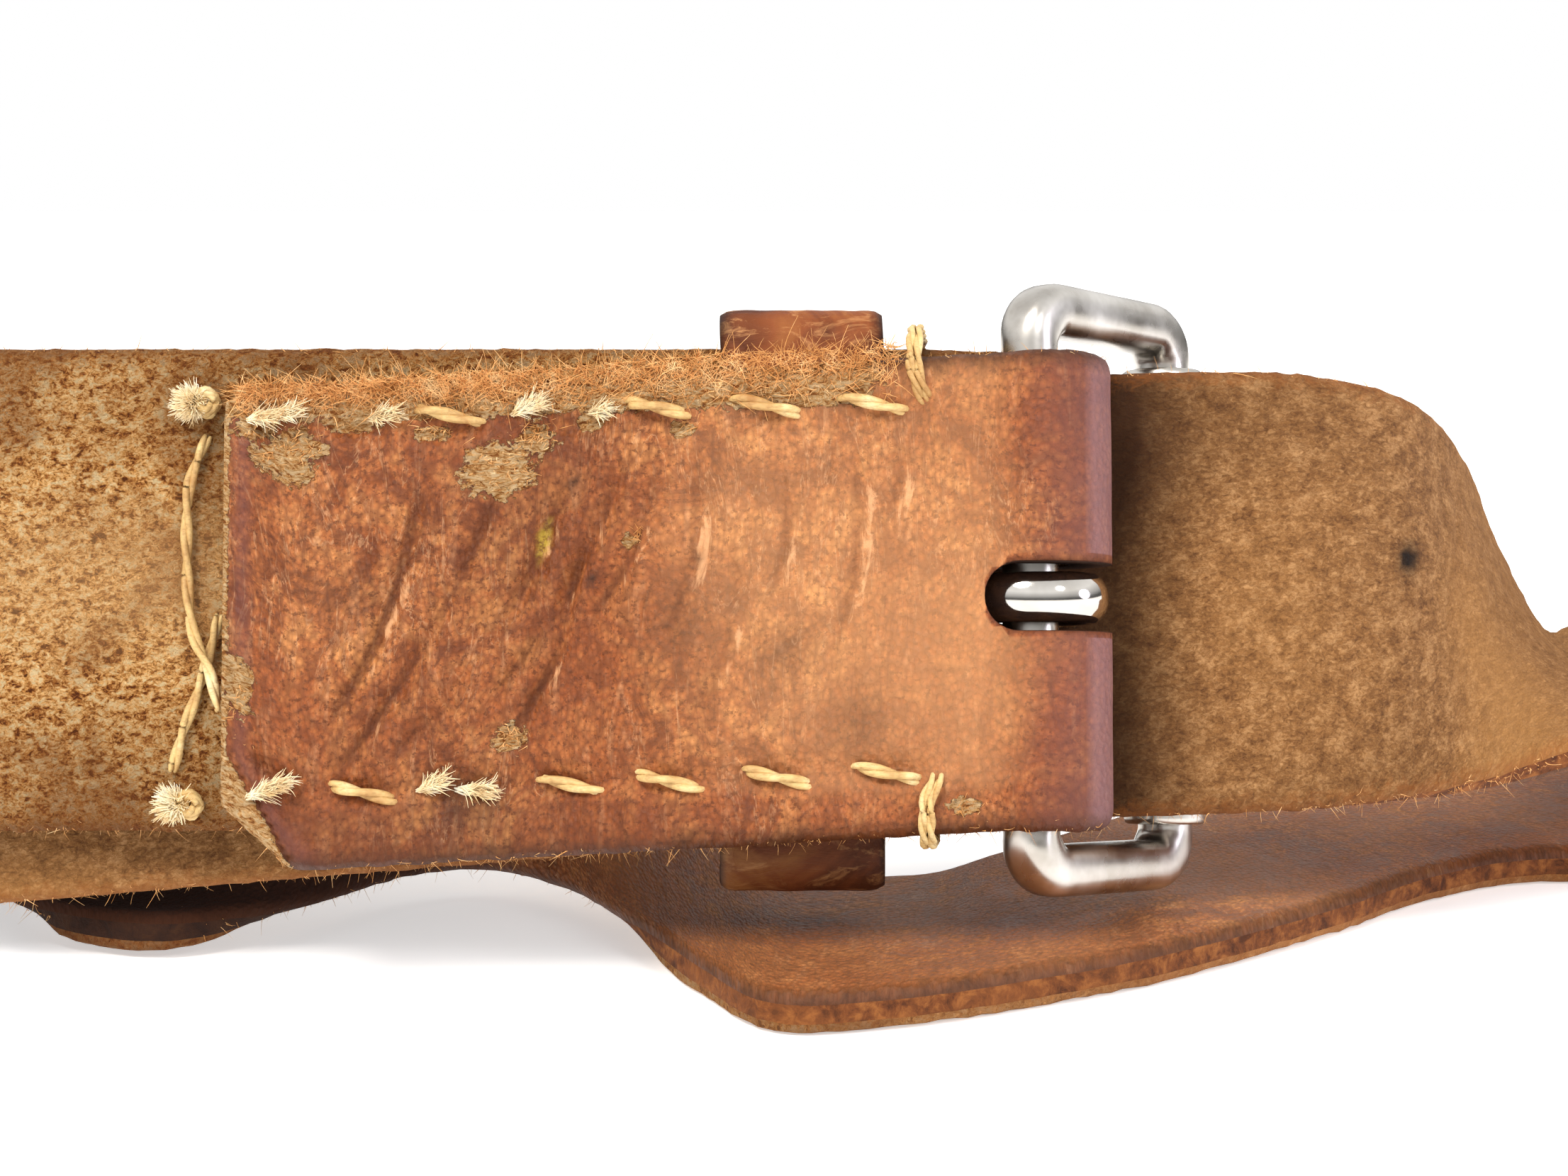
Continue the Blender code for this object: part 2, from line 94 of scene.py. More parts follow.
def to_world(point):
    return HEEL + point * MM


def smooth_step(value, low, high):
    t = min(max((value - low) / (high - low), 0.0), 1.0)
    return t * t * (3 - 2 * t)


def bell(distance, width):
    return math.exp(-(distance / width) ** 2)


def noise_at(x, y, scale, seed, z=0.0):
    """Smooth noise in -1 to 1 at a point in millimetres."""
    return noise.noise(Vector((x, y, z)) * scale + Vector((seed, seed * 1.7, -seed)))


# ---------------------------------------------------------------- strap path

def with_middle(row):
    if len(row) == 3:
        return row
    return row[0], (row[0] + row[1]) / 2, row[1]


def catmull_rom(points, t):
    before, start, end, after = points
    linear_part = (end - before) * t
    square = (2 * before - 5 * start + 4 * end - after) * t ** 2
    cube = (3 * start - before - 3 * end + after) * t ** 3
    return start + (linear_part + square + cube) / 2


def window_at(items, index):
    """The four items that a Catmull-Rom stretch from index needs."""
    return [items[min(max(index + k, 0), len(items) - 1)] for k in (-1, 0, 1, 2)]


def row_spacing(point):
    """Rows stand closer together where the strap faces the viewer."""
    in_front = point.y < 14.0 and point.z > -12.0 and point.x < 34.0
    return FINE_ROWS if in_front else COARSE_ROWS


def spline_rows(stations):
    """Rows through the stations, as close together as row_spacing asks."""
    full = [with_middle(station) for station in stations]
    rows = []
    for index in range(len(full) - 1):
        window = window_at(full, index)
        length = max((full[index + 1][k] - full[index][k]).length for k in range(3))
        steps = max(1, round(length / row_spacing(full[index][1])))
        for step in range(steps):
            rows.append(tuple(catmull_rom([row[k] for row in window], step / steps) for k in range(3)))
    rows.append(full[-1])
    return rows


def bowed(row, t):
    """A point across a row, which bends through the row's middle."""
    edge_a, middle, edge_b = row
    pull = 2 * middle - (edge_a + edge_b) / 2
    point = edge_a * (1 - t) ** 2 + pull * 2 * t * (1 - t) + edge_b * t ** 2
    point.z = max(point.z, TABLE_Z)
    return point


def tab_depth(x):
    """Middle of the tab's thickness: it steps down past the keeper."""
    over_keeper = -(FOLD_RADIUS - 0.15)
    on_strap = BACK_LAYER_Y - 2.75
    return over_keeper + (on_strap - over_keeper) * smooth_step(-x, 18.0, 26.0)


def tab_stations():
    half = STRAP_WIDTH / 2 - 0.25
    top_trim = 0.4
    stations = []
    xs = [TAB_END_X + 0.9 * step for step in range(7)] + [-35.0, -31.0]
    xs += [-28.0, -26.0, -24.0, -22.0, -20.0, -18.0, -14.0, -10.0, -6.0, -2.5]
    for x in xs:
        cut = max(0.0, 1 - (x - TAB_END_X) / 3.8) * CORNER_CUT
        centre = TAB_SKEW * x
        low = lean(x, tab_depth(x), centre - half + cut)
        stations.append((low, lean(x, tab_depth(x), centre + half - top_trim)))
    return stations


def fold_stations():
    half = STRAP_WIDTH / 2 - 0.15
    top_trim = 0.45
    stations = []
    for step in range(11):
        angle = math.radians(-90 + 18 * step)
        x = FOLD_RADIUS * math.cos(angle)
        y = FOLD_RADIUS * math.sin(angle)
        stations.append((lean(x, y, -half), lean(x, y, half - top_trim)))
    return stations


def back_layer_stations():
    half = STRAP_WIDTH / 2
    stations = []
    for x in (-1.5, -3.0, -4.5, -6.0, -8.0, -20.0, -34.0, -48.0, -58.0, -66.0):
        depth = FOLD_RADIUS + (BACK_LAYER_Y - FOLD_RADIUS) * smooth_step(-x, 0.0, 7.0)
        stations.append((lean(x, depth, -half), lean(x, depth, half)))
    return stations


def left_bend_stations():
    """Half a turn to the left, sinking on to the table and straightening up."""
    half = STRAP_WIDTH / 2 - 0.2
    radius = 20.0
    stations = []
    for step in range(1, 7):
        turn = math.pi * step / 6
        x = -70.0 - radius * math.sin(turn)
        y = BACK_LAYER_Y + radius * (1 - math.cos(turn))
        drop = -7.6 * smooth_step(turn, 0.0, 2.4)
        tip = math.sin(LEAN) * half * (1 - smooth_step(turn, 0.0, 1.6))
        stations.append((Vector((x, y - tip, drop - half)), Vector((x, y + tip, drop + half))))
    return stations


def return_run_stations():
    """Behind the buckle on edge, then flat on the table beneath it."""
    # The lower edge as x, y and its lift off the table, then a middle where it bows, then the upper edge.
    on_edge = (
        ((-64.0, 37.4, 0.5), (-64.6, 40.4, 5.2)),
        ((-61.4, 26.0, 0.5), (-62.4, 32.0, 4.0)),
        ((-59.0, 13.0, 0.4), (-59.8, 18.2, -8.5), (-60.6, 25.6, 2.6)),
        ((-54.0, 4.5, 0.4), (-54.8, 11.0, -14.0), (-55.5, 18.0, 0.5)),
        ((-46.6, 1.8, 0.4), (-47.0, 8.9, -14.6), (-47.5, 16.4, -0.5)),
        ((-40.6, 7.0, 0.5), (-41.2, 11.6, -9.5), (-41.8, 17.4, 1.8)),
        ((-36.0, 13.6, 0.6), (-36.8, 18.8, 4.0)),
        ((-30.6, 15.6, 0.5), (-31.4, 22.6, 3.4)),
        ((-25.0, 10.6, 0.3), (-26.4, 17.6, -11.6), (-27.6, 24.0, 0.0)),
        ((-21.2, 2.6, 0.1), (-22.4, 12.4, -15.8), (-23.6, 22.0, -7.4)),
        ((-17.6, -5.8, 0.0), (-17.8, 6.4, -18.9), (-18.4, 17.8, -15.2)),
    )
    flat = (
        (-13.8, -12.2, -12.6, 12.4), (-7.5, -11.4, -5.0, 13.0), (0.5, -7.4, -1.0, 17.4),
        (7.7, -2.6, 3.0, 22.0), (17.8, 6.4, 9.6, 30.0), (25.0, 14.0, 17.0, 37.4),
        (33.0, 18.6, 28.0, 42.8), (44.0, 17.5, 42.5, 42.6),
    )
    stations = []
    for (x, y, lift), *others in on_edge:
        lower = Vector((x, y, TABLE_Z + lift))
        stations.append((lower, *(Vector(other) for other in others)))
    for x, y, far_x, far_y in flat:
        stations.append((Vector((x, y, TABLE_Z)), Vector((far_x, far_y, TABLE_Z))))
    return stations


def right_bend_stations():
    radius = 6.6
    stations = []
    for step in range(7):
        turn = math.pi * step / 6
        x = 50.0 + radius * math.sin(turn)
        z = TABLE_Z + radius * (1 - math.cos(turn))
        stations.append((Vector((x, 18.0, z)), Vector((x, 43.0, z))))
    return stations


def billet_stations():
    """Twisting up from the table, through the buckle and on to the round tip."""
    half = BILLET_WIDTH / 2
    twist = (
        ((44.0, 16.2, -7.6), (44.0, 41.1, -7.2)), ((36.0, 12.0, -10.2), (37.0, 36.5, -9.0)),
        ((29.8, 9.0, -11.6), (32.0, 32.0, -2.5)), ((25.0, 6.4, -12.2), (27.4, 23.5, 4.6)),
        ((20.0, 4.8, -12.6), (22.0, 13.6, 8.9)), ((15.0, 4.0, -12.9), (15.6, 9.6, 10.6)),
    )
    buckled = (
        (8.4, 5.75, 0.0), (4.0, 6.1, -0.1), (0.0, 6.2, -0.2), (-3.5, 5.7, -0.5),
        (-7.5, 4.75, -0.8), (-12.0, 4.45, -1.2), (-24.0, 4.4, -2.1), (-40.0, 4.4, -3.4),
        (-52.0, 4.4, -4.4),
    )
    stations = [(Vector(lower), Vector(upper)) for lower, upper in twist]
    for x, y, centre in buckled:
        stations.append((lean(x, y, centre - half), lean(x, y, centre + half)))
    for step in range(8):
        t = step / 7
        half_here = half * math.sqrt(1 - 0.95 * t ** 2)
        x = -56.0 - 8.0 * t
        centre = -4.7 - 0.7 * t
        stations.append((lean(x, 4.4, centre - half_here), lean(x, 4.4, centre + half_here)))
    return stations


def strap_rows():
    """The whole strap from the tab's end to the billet's tip, in one run."""
    stations = tab_stations() + fold_stations() + back_layer_stations() + left_bend_stations()
    stations += return_run_stations() + right_bend_stations() + billet_stations()
    return spline_rows(stations)


# ---------------------------------------------------------------- leather relief

# Lines where the tab has creased, as (x, z) ends in buckle millimetres.
CREASES = (
    ((-32.3, 5.1), (-36.7, -7.1)), ((-28.0, 5.6), (-36.3, -9.8)), ((-28.4, -0.6), (-33.8, -9.2)),
    ((-24.6, 5.1), (-32.2, -8.6)), ((-21.3, 6.0), (-28.2, -5.6)), ((-23.4, 2.6), (-27.2, -7.8)),
    ((-19.4, 6.6), (-22.8, -1.6)), ((-17.5, 7.9), (-18.8, -2.6)), ((-15.2, 2.6), (-17.6, -7.4)),
    ((-12.8, 6.4), (-14.2, -1.4)), ((-9.2, 8.0), (-10.4, -4.0)), ((-7.0, 8.6), (-8.2, 3.0)),
)
# Where the grain has torn away: centre x, z, half width, half height.
TORN = (
    (-39.2, 7.4, 2.6, 2.0), (-41.0, 9.0, 1.6, 1.4), (-28.0, 6.6, 2.6, 2.0), (-26.0, 8.2, 1.6, 1.1),
    (-41.8, -6.8, 1.2, 2.6), (-18.0, 8.6, 0.8, 0.7), (-27.4, -8.0, 1.3, 1.0), (-31.6, 8.6, 1.4, 0.6),
    (-23.0, 9.2, 1.2, 0.7), (-3.4, -11.6, 1.2, 0.6), (-36.0, 9.2, 2.2, 0.7), (-20.6, 2.6, 0.5, 0.7),
)
# Small dark pits and stains: centre x, z, radius, strength.
STAINS = (
    (-23.8, 5.8, 0.35, 1.0), (-22.4, 0.8, 0.3, 1.0), (-17.2, 1.4, 0.3, 0.9), (-12.6, -3.4, 1.6, 0.35),
    (-18.2, -1.8, 2.0, 0.3), (-9.0, -7.2, 1.8, 0.35), (-29.5, -11.2, 1.8, 0.6), (-35.0, -0.4, 1.4, 0.3),
)


def distance_to_line(x, z, start, end):
    """Distance from a slightly bowed line, and how far along it."""
    dx = end[0] - start[0]
    dz = end[1] - start[1]
    along = ((x - start[0]) * dx + (z - start[1]) * dz) / (dx * dx + dz * dz)
    along = min(max(along, 0.0), 1.0)
    bow = 0.8 * math.sin(math.pi * along)
    return math.hypot(x - start[0] - along * dx - bow, z - start[1] - along * dz), along


def seam_height(side, x):
    """Height of a seam on the tab; the two run a little apart towards its end."""
    if side > 0:
        return 9.6 + 0.02 * x
    return -9.5 + 0.038 * x


def crease_depth(x, z):
    """Valleys between low ridges, deepest towards the tab's end."""
    depth = 0.0
    for start, end in CREASES:
        distance, along = distance_to_line(x, z, start, end)
        fade = math.sin(math.pi * min(max(along, 0.02), 0.98)) ** 0.5
        fade *= 0.35 + 1.05 * smooth_step(-x, 17.0, 25.0)
        depth += fade * (bell(distance, 0.42) - 0.45 * bell(distance - 0.9, 0.6))
    return depth


def crest_amount(x, z):
    """The pale cracked lip on one side of each crease."""
    amount = 0.0
    for start, end in CREASES:
        distance, along = distance_to_line(x - 0.55, z, start, end)
        amount = max(amount, math.sin(math.pi * along) * bell(distance, 0.4))
    return amount


def torn_amount(x, z):
    """How far the grain is torn away: in patches, and in a band over the upper seam."""
    amount = 0.0
    for centre_x, centre_z, half_x, half_z in TORN:
        reach = math.hypot((x - centre_x) / half_x, (z - centre_z) / half_z)
        amount = max(amount, 1.25 - reach)
    frayed_band = smooth_step(z - seam_height(1, x), -0.2, 1.3) * smooth_step(-x, 6.2, 9.5)
    ragged = 0.34 * noise_at(x, z, 0.9, 3.0) + 0.22 * noise_at(x, z, 2.3, 4.0)
    return min(max(max(amount, frayed_band) + ragged, 0.0), 1.0)


def from_tab_end(x, z):
    """Distance in from the tab's end, which turns the cut corner."""
    square = x - TAB_END_X
    corner = (z - TAB_SKEW * x + STRAP_WIDTH / 2 - CORNER_CUT + 0.95 * square) * 0.72
    return min(square, corner)


def lip_amount(x, z):
    """The tan cut strip along the tab's end."""
    return 1 - smooth_step(from_tab_end(x, z) + 0.06 * noise_at(x, z, 0.8, 14.0), 0.2, 0.42)


def bevel_amount(x, z):
    """The dark burnished line just inside the cut strip."""
    inside = from_tab_end(x, z) + 0.15 * noise_at(x, z, 0.5, 15.0)
    return smooth_step(inside, 0.5, 0.75) * (1 - smooth_step(inside, 1.3, 2.0))


def stain_amount(x, z):
    amount = 0.0
    for centre_x, centre_z, radius, strength in STAINS:
        amount = max(amount, strength * bell(math.hypot(x - centre_x, z - centre_z), radius))
    return amount


def tab_relief(x, z):
    """Height of the tab's grain above its plain surface, in millimetres."""
    height = -0.5 * crease_depth(x, z)
    for side in (-1, 1):
        off_seam = z - seam_height(side, x)
        if -41.0 < x < -5.0:
            pulled = 0.5 + 0.5 * math.cos(2 * math.pi * (x + 41.0) / STITCH_PITCH)
            height -= (0.3 + 0.28 * pulled) * bell(off_seam, 0.85)
    tooled_line = z - seam_height(-1, x) + 1.45
    height -= 0.14 * bell(tooled_line, 0.3)
    torn = torn_amount(x, z)
    height -= 0.34 * smooth_step(torn, 0.45, 0.7)
    height += 0.22 * torn * noise_at(x, z, 1.3, 17.0)
    height += 0.22 * bevel_amount(x, z) - 0.3 * bell(from_tab_end(x, z) - 0.5, 0.16)
    height += 0.12 * noise_at(x, z, 0.16, 1.0) + 0.05 * noise_at(x, z, 0.55, 2.0)
    return height


def tone_and_painted_shade(run, total, across, place):
    """Tone along the strap: 0 darkest, 0.5 as dyed, 1 palest. Random drift and paler and darker stretches,
    with painted shade beside the fold and painted shadow under the strap.
    """
    drift = 0.2 * noise_at(run, across, 0.09, 21.0)
    if run < TAB_LENGTH + FOLD_LENGTH:
        x = TAB_END_X + run
        pale = 0.34 * smooth_step(x, -27.0, -9.0) * (1 - smooth_step(x, -3.0, 2.0))
        low_band = 0.2 * smooth_step(seam_height(-1, x) - across - TAB_SKEW * x, 0.0, 1.4)
        return 0.42 + pale - low_band + drift
    if run < 0.5 * total:
        tone_and_shade = 0.24 + 0.6 * bell(across - 1.0, 5.5) + drift
    else:
        # Painted shade: the billet is darker where it passes beside the fold.
        fold_shadow = 0.5 * smooth_step(place.x, -7.0, -3.0) * (1 - smooth_step(place.x, 3.5, 11.0))
        tone_and_shade = 0.46 - fold_shadow + 0.35 * smooth_step(place.x, 16.0, 34.0) + drift
    behind = max(smooth_step(place.y, 9.0, 17.0), 1 - smooth_step(place.z, TABLE_Z + 2.0, TABLE_Z + 5.0))
    tone_and_shade += (0.66 + drift - tone_and_shade) * behind
    # Painted shadow: the return run turns almost black where it passes under the strap's left end.
    if run < 0.6 * total:
        shaded = smooth_step(run, TAB_LENGTH + 74.0, TAB_LENGTH + 92.0)
        tone_and_shade *= 1 - shaded * (1 - smooth_step(place.x, -36.0, -27.0))
    return tone_and_shade


def speck_amount(x, z):
    """A fleck of yellow wax on the tab."""
    reach = math.hypot((x + 25.5) / 0.32, (z - 2.7 - 0.3 * (x + 25.5)) / 0.85)
    return min(max(1.5 - reach + 0.5 * noise_at(x, z, 2.6, 31.0), 0.0), 1.0)


def billet_hole(place):
    """The small awl hole in the billet, painted as a dark pit of shade; it is not cut."""
    return min(1.7 * bell(math.hypot((place.x - 21.2) / 0.5, (place.z - 0.1) / 0.75), 1.0), 1.0)


# ---------------------------------------------------------------- strap mesh

GRAIN, FLESH, EDGE = 0, 1, 2
FLESH_UV_OFFSET = 60.0
# What the leather materials read at each vertex.
MARKS = ("torn", "stain_and_pit_shade", "rim", "fold", "nap", "tone_and_shade", "speck", "crease", "crest")


def across_steps():
    """Positions across the strap, closer together near its edges."""
    steps = []
    for i in range(ACROSS + 1):
        even = i / ACROSS
        steps.append(even - 0.06 * math.sin(2 * math.pi * even))
    return steps


def edge_fall(from_edge):
    """How much of the thickness is left near a rounded edge."""
    reach = min(from_edge / 1.1, 1.0)
    return 0.42 + 0.58 * math.sqrt(1 - (1 - reach) ** 2)


def surface_at(run, total, t, width, place):
    """Heights of the grain and flesh sides, and the marks, at one place on the strap."""
    across = (t - 0.5) * width
    marks = dict.fromkeys(MARKS, 0.0)
    marks["crease"] = 0.5
    bevel = 0.0
    grain_height = 0.05 * noise_at(run, t * width, 0.3, 7.0)
    if run < TAB_LENGTH + 1.0:
        x = TAB_END_X + run
        z = TAB_SKEW * x + (t - 0.5) * STRAP_WIDTH
        fade = 1 - smooth_step(run, TAB_LENGTH - 4.5, TAB_LENGTH - 1.0)
        grain_height = fade * tab_relief(x, z)
        bevel = bevel_amount(x, z)
        marks["torn"] = max(torn_amount(x, z), 0.8 * lip_amount(x, z))
        marks["speck"] = speck_amount(x, z)
        # Crease depth, read by the grain material to paint shade in the valleys.
        marks["crease"] = min(max(0.5 + 0.5 * crease_depth(x, z), 0.0), 1.0)
        marks["crest"] = crest_amount(x, z)
        marks["stain_and_pit_shade"] = stain_amount(x, z)
    flesh_height = 0.10 * noise_at(run, t * width, 0.22, 8.0)
    flesh_height += 0.13 * noise_at(run, t * width, 0.95, 9.0)
    pinch = 1 - smooth_step(abs(run - TAB_LENGTH - FOLD_LENGTH), 6.0, 9.0)
    flesh_height *= 1 - 0.8 * pinch
    marks["rim"] = 1 - min(min(t, 1 - t) * width / 2.2, 1.0)
    # The fold's mark, for its burnished colour and its painted sheen; the burnished line at the tab's end
    # shares it.
    marks["fold"] = max(1 - smooth_step(abs(run - TAB_LENGTH - 4.6), 1.5, 6.0), 0.8 * bevel)
    marks["tone_and_shade"] = tone_and_painted_shade(run, total, across, place)
    marks["nap"] = smooth_step(run / total, 0.55, 0.62)
    # Painted shade: the awl hole on the billet is a dark spot.
    if run > 0.5 * total and place.y < 16.0:
        marks["stain_and_pit_shade"] = billet_hole(place)
    return grain_height, flesh_height, marks


def strap_rings(bm, rows):
    """A ring of (vertex, place across) round the strap at each row, and how far along it lies."""
    layers = {name: bm.verts.layers.float.new(name) for name in MARKS}
    steps = across_steps()
    total = sum((after[1] - before[1]).length for before, after in zip(rows, rows[1:]))
    rings = []
    lengths = []
    run = 0.0
    for index, row in enumerate(rows):
        before = rows[max(index - 1, 0)]
        after = rows[min(index + 1, len(rows) - 1)]
        if index:
            run += (row[1] - before[1]).length
        lengths.append(run)
        width = (row[2] - row[0]).length
        end_fall = edge_fall(min(run, total - run) + 0.1)
        grain_line = []
        flesh_line = []
        for t in steps:
            place = bowed(row, t)
            along = bowed(after, t) - bowed(before, t)
            side = bowed(row, min(t + 0.02, 1.0)) - bowed(row, max(t - 0.02, 0.0))
            normal = along.cross(side).normalized()
            fall = edge_fall(min(t, 1 - t) * width) * end_fall
            outward = (t - 0.5) * 2
            wobble = 0.16 * noise_at(run, outward * 9, 0.5, 5.0) + 0.09 * noise_at(run, outward, 1.7, 6.0)
            place = place + side.normalized() * math.copysign(wobble, outward) * abs(outward) ** 6
            grain_height, flesh_height, marks = surface_at(run, total, t, width, place)
            for line, height, sign in ((grain_line, grain_height, 1), (flesh_line, flesh_height, -1)):
                vert = bm.verts.new(to_world(place + normal * sign * (HALF_LEATHER + height) * fall))
                for name, layer in layers.items():
                    vert[layer] = marks[name]
                line.append((vert, (t - 0.5) * width))
        rings.append(grain_line + flesh_line[::-1])
    return rings, lengths


def strap_mesh(rows):
    """One closed skin round all the rows, with the sides as materials."""
    bm = bmesh.new()
    uv_layer = bm.loops.layers.uv.new("leather_mm")
    rings, lengths = strap_rings(bm, rows)
    count = len(rings[0])
    for index in range(len(rings) - 1):
        for i in range(count):
            following = (i + 1) % count
            corners = (
                (rings[index][i], lengths[index]),
                (rings[index][following], lengths[index]),
                (rings[index + 1][following], lengths[index + 1]),
                (rings[index + 1][i], lengths[index + 1]),
            )
            face = bm.faces.new([corner[0][0] for corner in corners])
            is_edge = i in (ACROSS, count - 1)
            face.material_index = EDGE if is_edge else (GRAIN if i < ACROSS else FLESH)
            face.smooth = True
            offset = 0.0 if i < ACROSS else FLESH_UV_OFFSET
            for loop, ((_, across), along) in zip(face.loops, corners):
                loop[uv_layer].uv = (along * MM, (across + offset) * MM)
    for ring, flip in ((rings[0], True), (rings[-1], False)):
        verts = [item[0] for item in ring]
        for i in range(ACROSS):
            quad = [verts[i], verts[i + 1], verts[count - 2 - i], verts[count - 1 - i]]
            face = bm.faces.new(quad[::-1] if flip else quad)
            face.material_index = EDGE
            face.smooth = True
    return finished_mesh("strap_leather", bm)


# ---------------------------------------------------------------- objects and cuts

def finished_mesh(name, bm):
    bmesh.ops.recalc_face_normals(bm, faces=bm.faces)
    mesh = bpy.data.meshes.new(name)
    bm.to_mesh(mesh)
    bm.free()
    return mesh


def new_object(name, data, materials=()):
    obj = bpy.data.objects.new(name, data)
    bpy.context.scene.collection.objects.link(obj)
    for material in materials:
        data.materials.append(material)
    return obj


def mesh_piece(name, bm, materials):
    return new_object(name, finished_mesh(name, bm), materials)


def slot_cutter(name, x_end, x_open, y_low, y_high, half_width, round_both):
    """A slot at the tongue, round at x_end and, if asked, at its other end."""
    outline = []
    for step in range(17):
        angle = math.pi / 2 + math.pi * step / 16
        outline.append((x_end + half_width * (1 + math.cos(angle)), half_width * math.sin(angle)))
    if round_both:
        for step in range(17):
            angle = -math.pi / 2 + math.pi * step / 16
            outline.append((x_open - half_width * (1 - math.cos(angle)), half_width * math.sin(angle)))
    else:
        outline += [(x_open, -half_width), (x_open, half_width)]
    bm = bmesh.new()
    face = bm.faces.new([bm.verts.new(to_world(lean(x, y_low, z + TONGUE_Z))) for x, z in outline])
    grown = bmesh.ops.extrude_face_region(bm, geom=[face])
    moved = [item for item in grown["geom"] if isinstance(item, bmesh.types.BMVert)]
    bmesh.ops.translate(bm, vec=(lean(0, y_high, 0) - lean(0, y_low, 0)) * MM, verts=moved)
    for face in bm.faces:
        face.material_index = EDGE
    return new_object(name, finished_mesh(name, bm))


def cut_away(obj, cutters):
    """Cut each cutter from obj, keep the result and drop the cutters."""
    for cutter in cutters:
        boolean = obj.modifiers.new(cutter.name, "BOOLEAN")
        boolean.operation = "DIFFERENCE"
        boolean.solver = "EXACT"
        boolean.object = cutter
    bpy.context.view_layer.update()
    depsgraph = bpy.context.evaluated_depsgraph_get()
    mesh = bpy.data.meshes.new_from_object(obj.evaluated_get(depsgraph))
    obj.modifiers.clear()
    obj.data = mesh
    for cutter in cutters:
        bpy.data.objects.remove(cutter)


# ---------------------------------------------------------------- materials

def linear(hex_colour):
    """An sRGB hex colour as linear RGBA."""
    channels = [int(hex_colour[i:i + 2], 16) / 255 for i in (0, 2, 4)]
    return tuple(c / 12.92 if c <= 0.04045 else ((c + 0.055) / 1.055) ** 2.4 for c in channels) + (1.0,)


def colour_of(value):
    """A hex colour, or a grey given as a number, as linear RGBA."""
    return linear(value) if isinstance(value, str) else (value, value, value, 1.0)


class Nodes:
    """A node tree, with short helpers for the nodes used here."""

    def __init__(self, tree):
        self.tree = tree

    def node(self, kind, **settings):
        made = self.tree.nodes.new(kind)
        for key, value in settings.items():
            setattr(made, key, value)
        return made

    def feed(self, value, socket):
        """Link an output to a socket, or set the socket to a plain value."""
        if hasattr(value, "is_linked"):
            self.tree.links.new(value, socket)
        else:
            socket.default_value = value

    def coordinates(self, kind="UV", scale=(1.0, 1.0, 1.0), turn=0.0):
        source = self.node("ShaderNodeTexCoord")
        mapping = self.node("ShaderNodeMapping")
        mapping.inputs["Scale"].default_value = scale
        mapping.inputs["Rotation"].default_value = (0.0, 0.0, turn)
        self.feed(source.outputs[kind], mapping.inputs["Vector"])
        return mapping.outputs["Vector"]

    def noise(self, vector, scale, detail=4.0, roughness=0.55, distortion=0.0):
        made = self.node("ShaderNodeTexNoise")
        made.inputs["Scale"].default_value = scale
        made.inputs["Detail"].default_value = detail
        made.inputs["Roughness"].default_value = roughness
        made.inputs["Distortion"].default_value = distortion
        self.feed(vector, made.inputs["Vector"])
        return made.outputs["Fac"]

    def cells(self, vector, scale):
        """Distance from the nearest of many scattered points."""
        made = self.node("ShaderNodeTexVoronoi")
        made.inputs["Scale"].default_value = scale
        self.feed(vector, made.inputs["Vector"])
        return made.outputs["Distance"]

    def ramp(self, source, *stops):
        """A colour ramp; each stop is a position, and a hex colour or a grey."""
        made = self.node("ShaderNodeValToRGB")
        elements = made.color_ramp.elements
        while len(elements) < len(stops):
            elements.new(0.5)
        for element, (position, value) in zip(elements, stops):
            element.position = position
            element.color = colour_of(value)
        self.feed(source, made.inputs["Fac"])
        return made.outputs["Color"]

    def mix(self, factor, colour_a, colour_b):
        made = self.node("ShaderNodeMix", data_type="RGBA")
        self.feed(factor, made.inputs[0])
        self.feed(colour_a, made.inputs[6])
        self.feed(colour_b, made.inputs[7])
        return made.outputs[2]

    def tint(self, base, hex_colour, source, *stops):
        """Mix a colour over base, as much as a ramp on source says."""
        return self.mix(self.ramp(source, *stops), base, linear(hex_colour))

    def maths(self, operation, a, b):
        made = self.node("ShaderNodeMath", operation=operation)
        self.feed(a, made.inputs[0])
        self.feed(b, made.inputs[1])
        return made.outputs[0]

    def times(self, a, b):
        return self.maths("MULTIPLY", a, b)

    def plus(self, a, b):
        return self.maths("ADD", a, b)

    def swing(self, source, amount):
        """Noise about a half as a swing about nought."""
        return self.times(self.maths("SUBTRACT", source, 0.5), amount)

    def mark(self, name):
        return self.node("ShaderNodeAttribute", attribute_name=name).outputs["Fac"]

    def bump(self, height, strength, distance, below=None):
        made = self.node("ShaderNodeBump")
        made.inputs["Strength"].default_value = strength
        made.inputs["Distance"].default_value = distance
        self.feed(height, made.inputs["Height"])
        if below is not None:
            self.feed(below, made.inputs["Normal"])
        return made.outputs["Normal"]


class Shader(Nodes):
    """One material on a Principled BSDF."""

    def __init__(self, name):
        self.material = bpy.data.materials.new(name)
        self.material.use_nodes = True
        super().__init__(self.material.node_tree)
        self.bsdf = self.tree.nodes["Principled BSDF"]

    def constant(self, socket, value):
        self.bsdf.inputs[socket].default_value = value

    def finish(self, colour, roughness, normal=None):
        self.feed(colour, self.bsdf.inputs["Base Color"])
        self.feed(roughness, self.bsdf.inputs["Roughness"])
        if normal is not None:
            self.feed(normal, self.bsdf.inputs["Normal"])
        return self.material


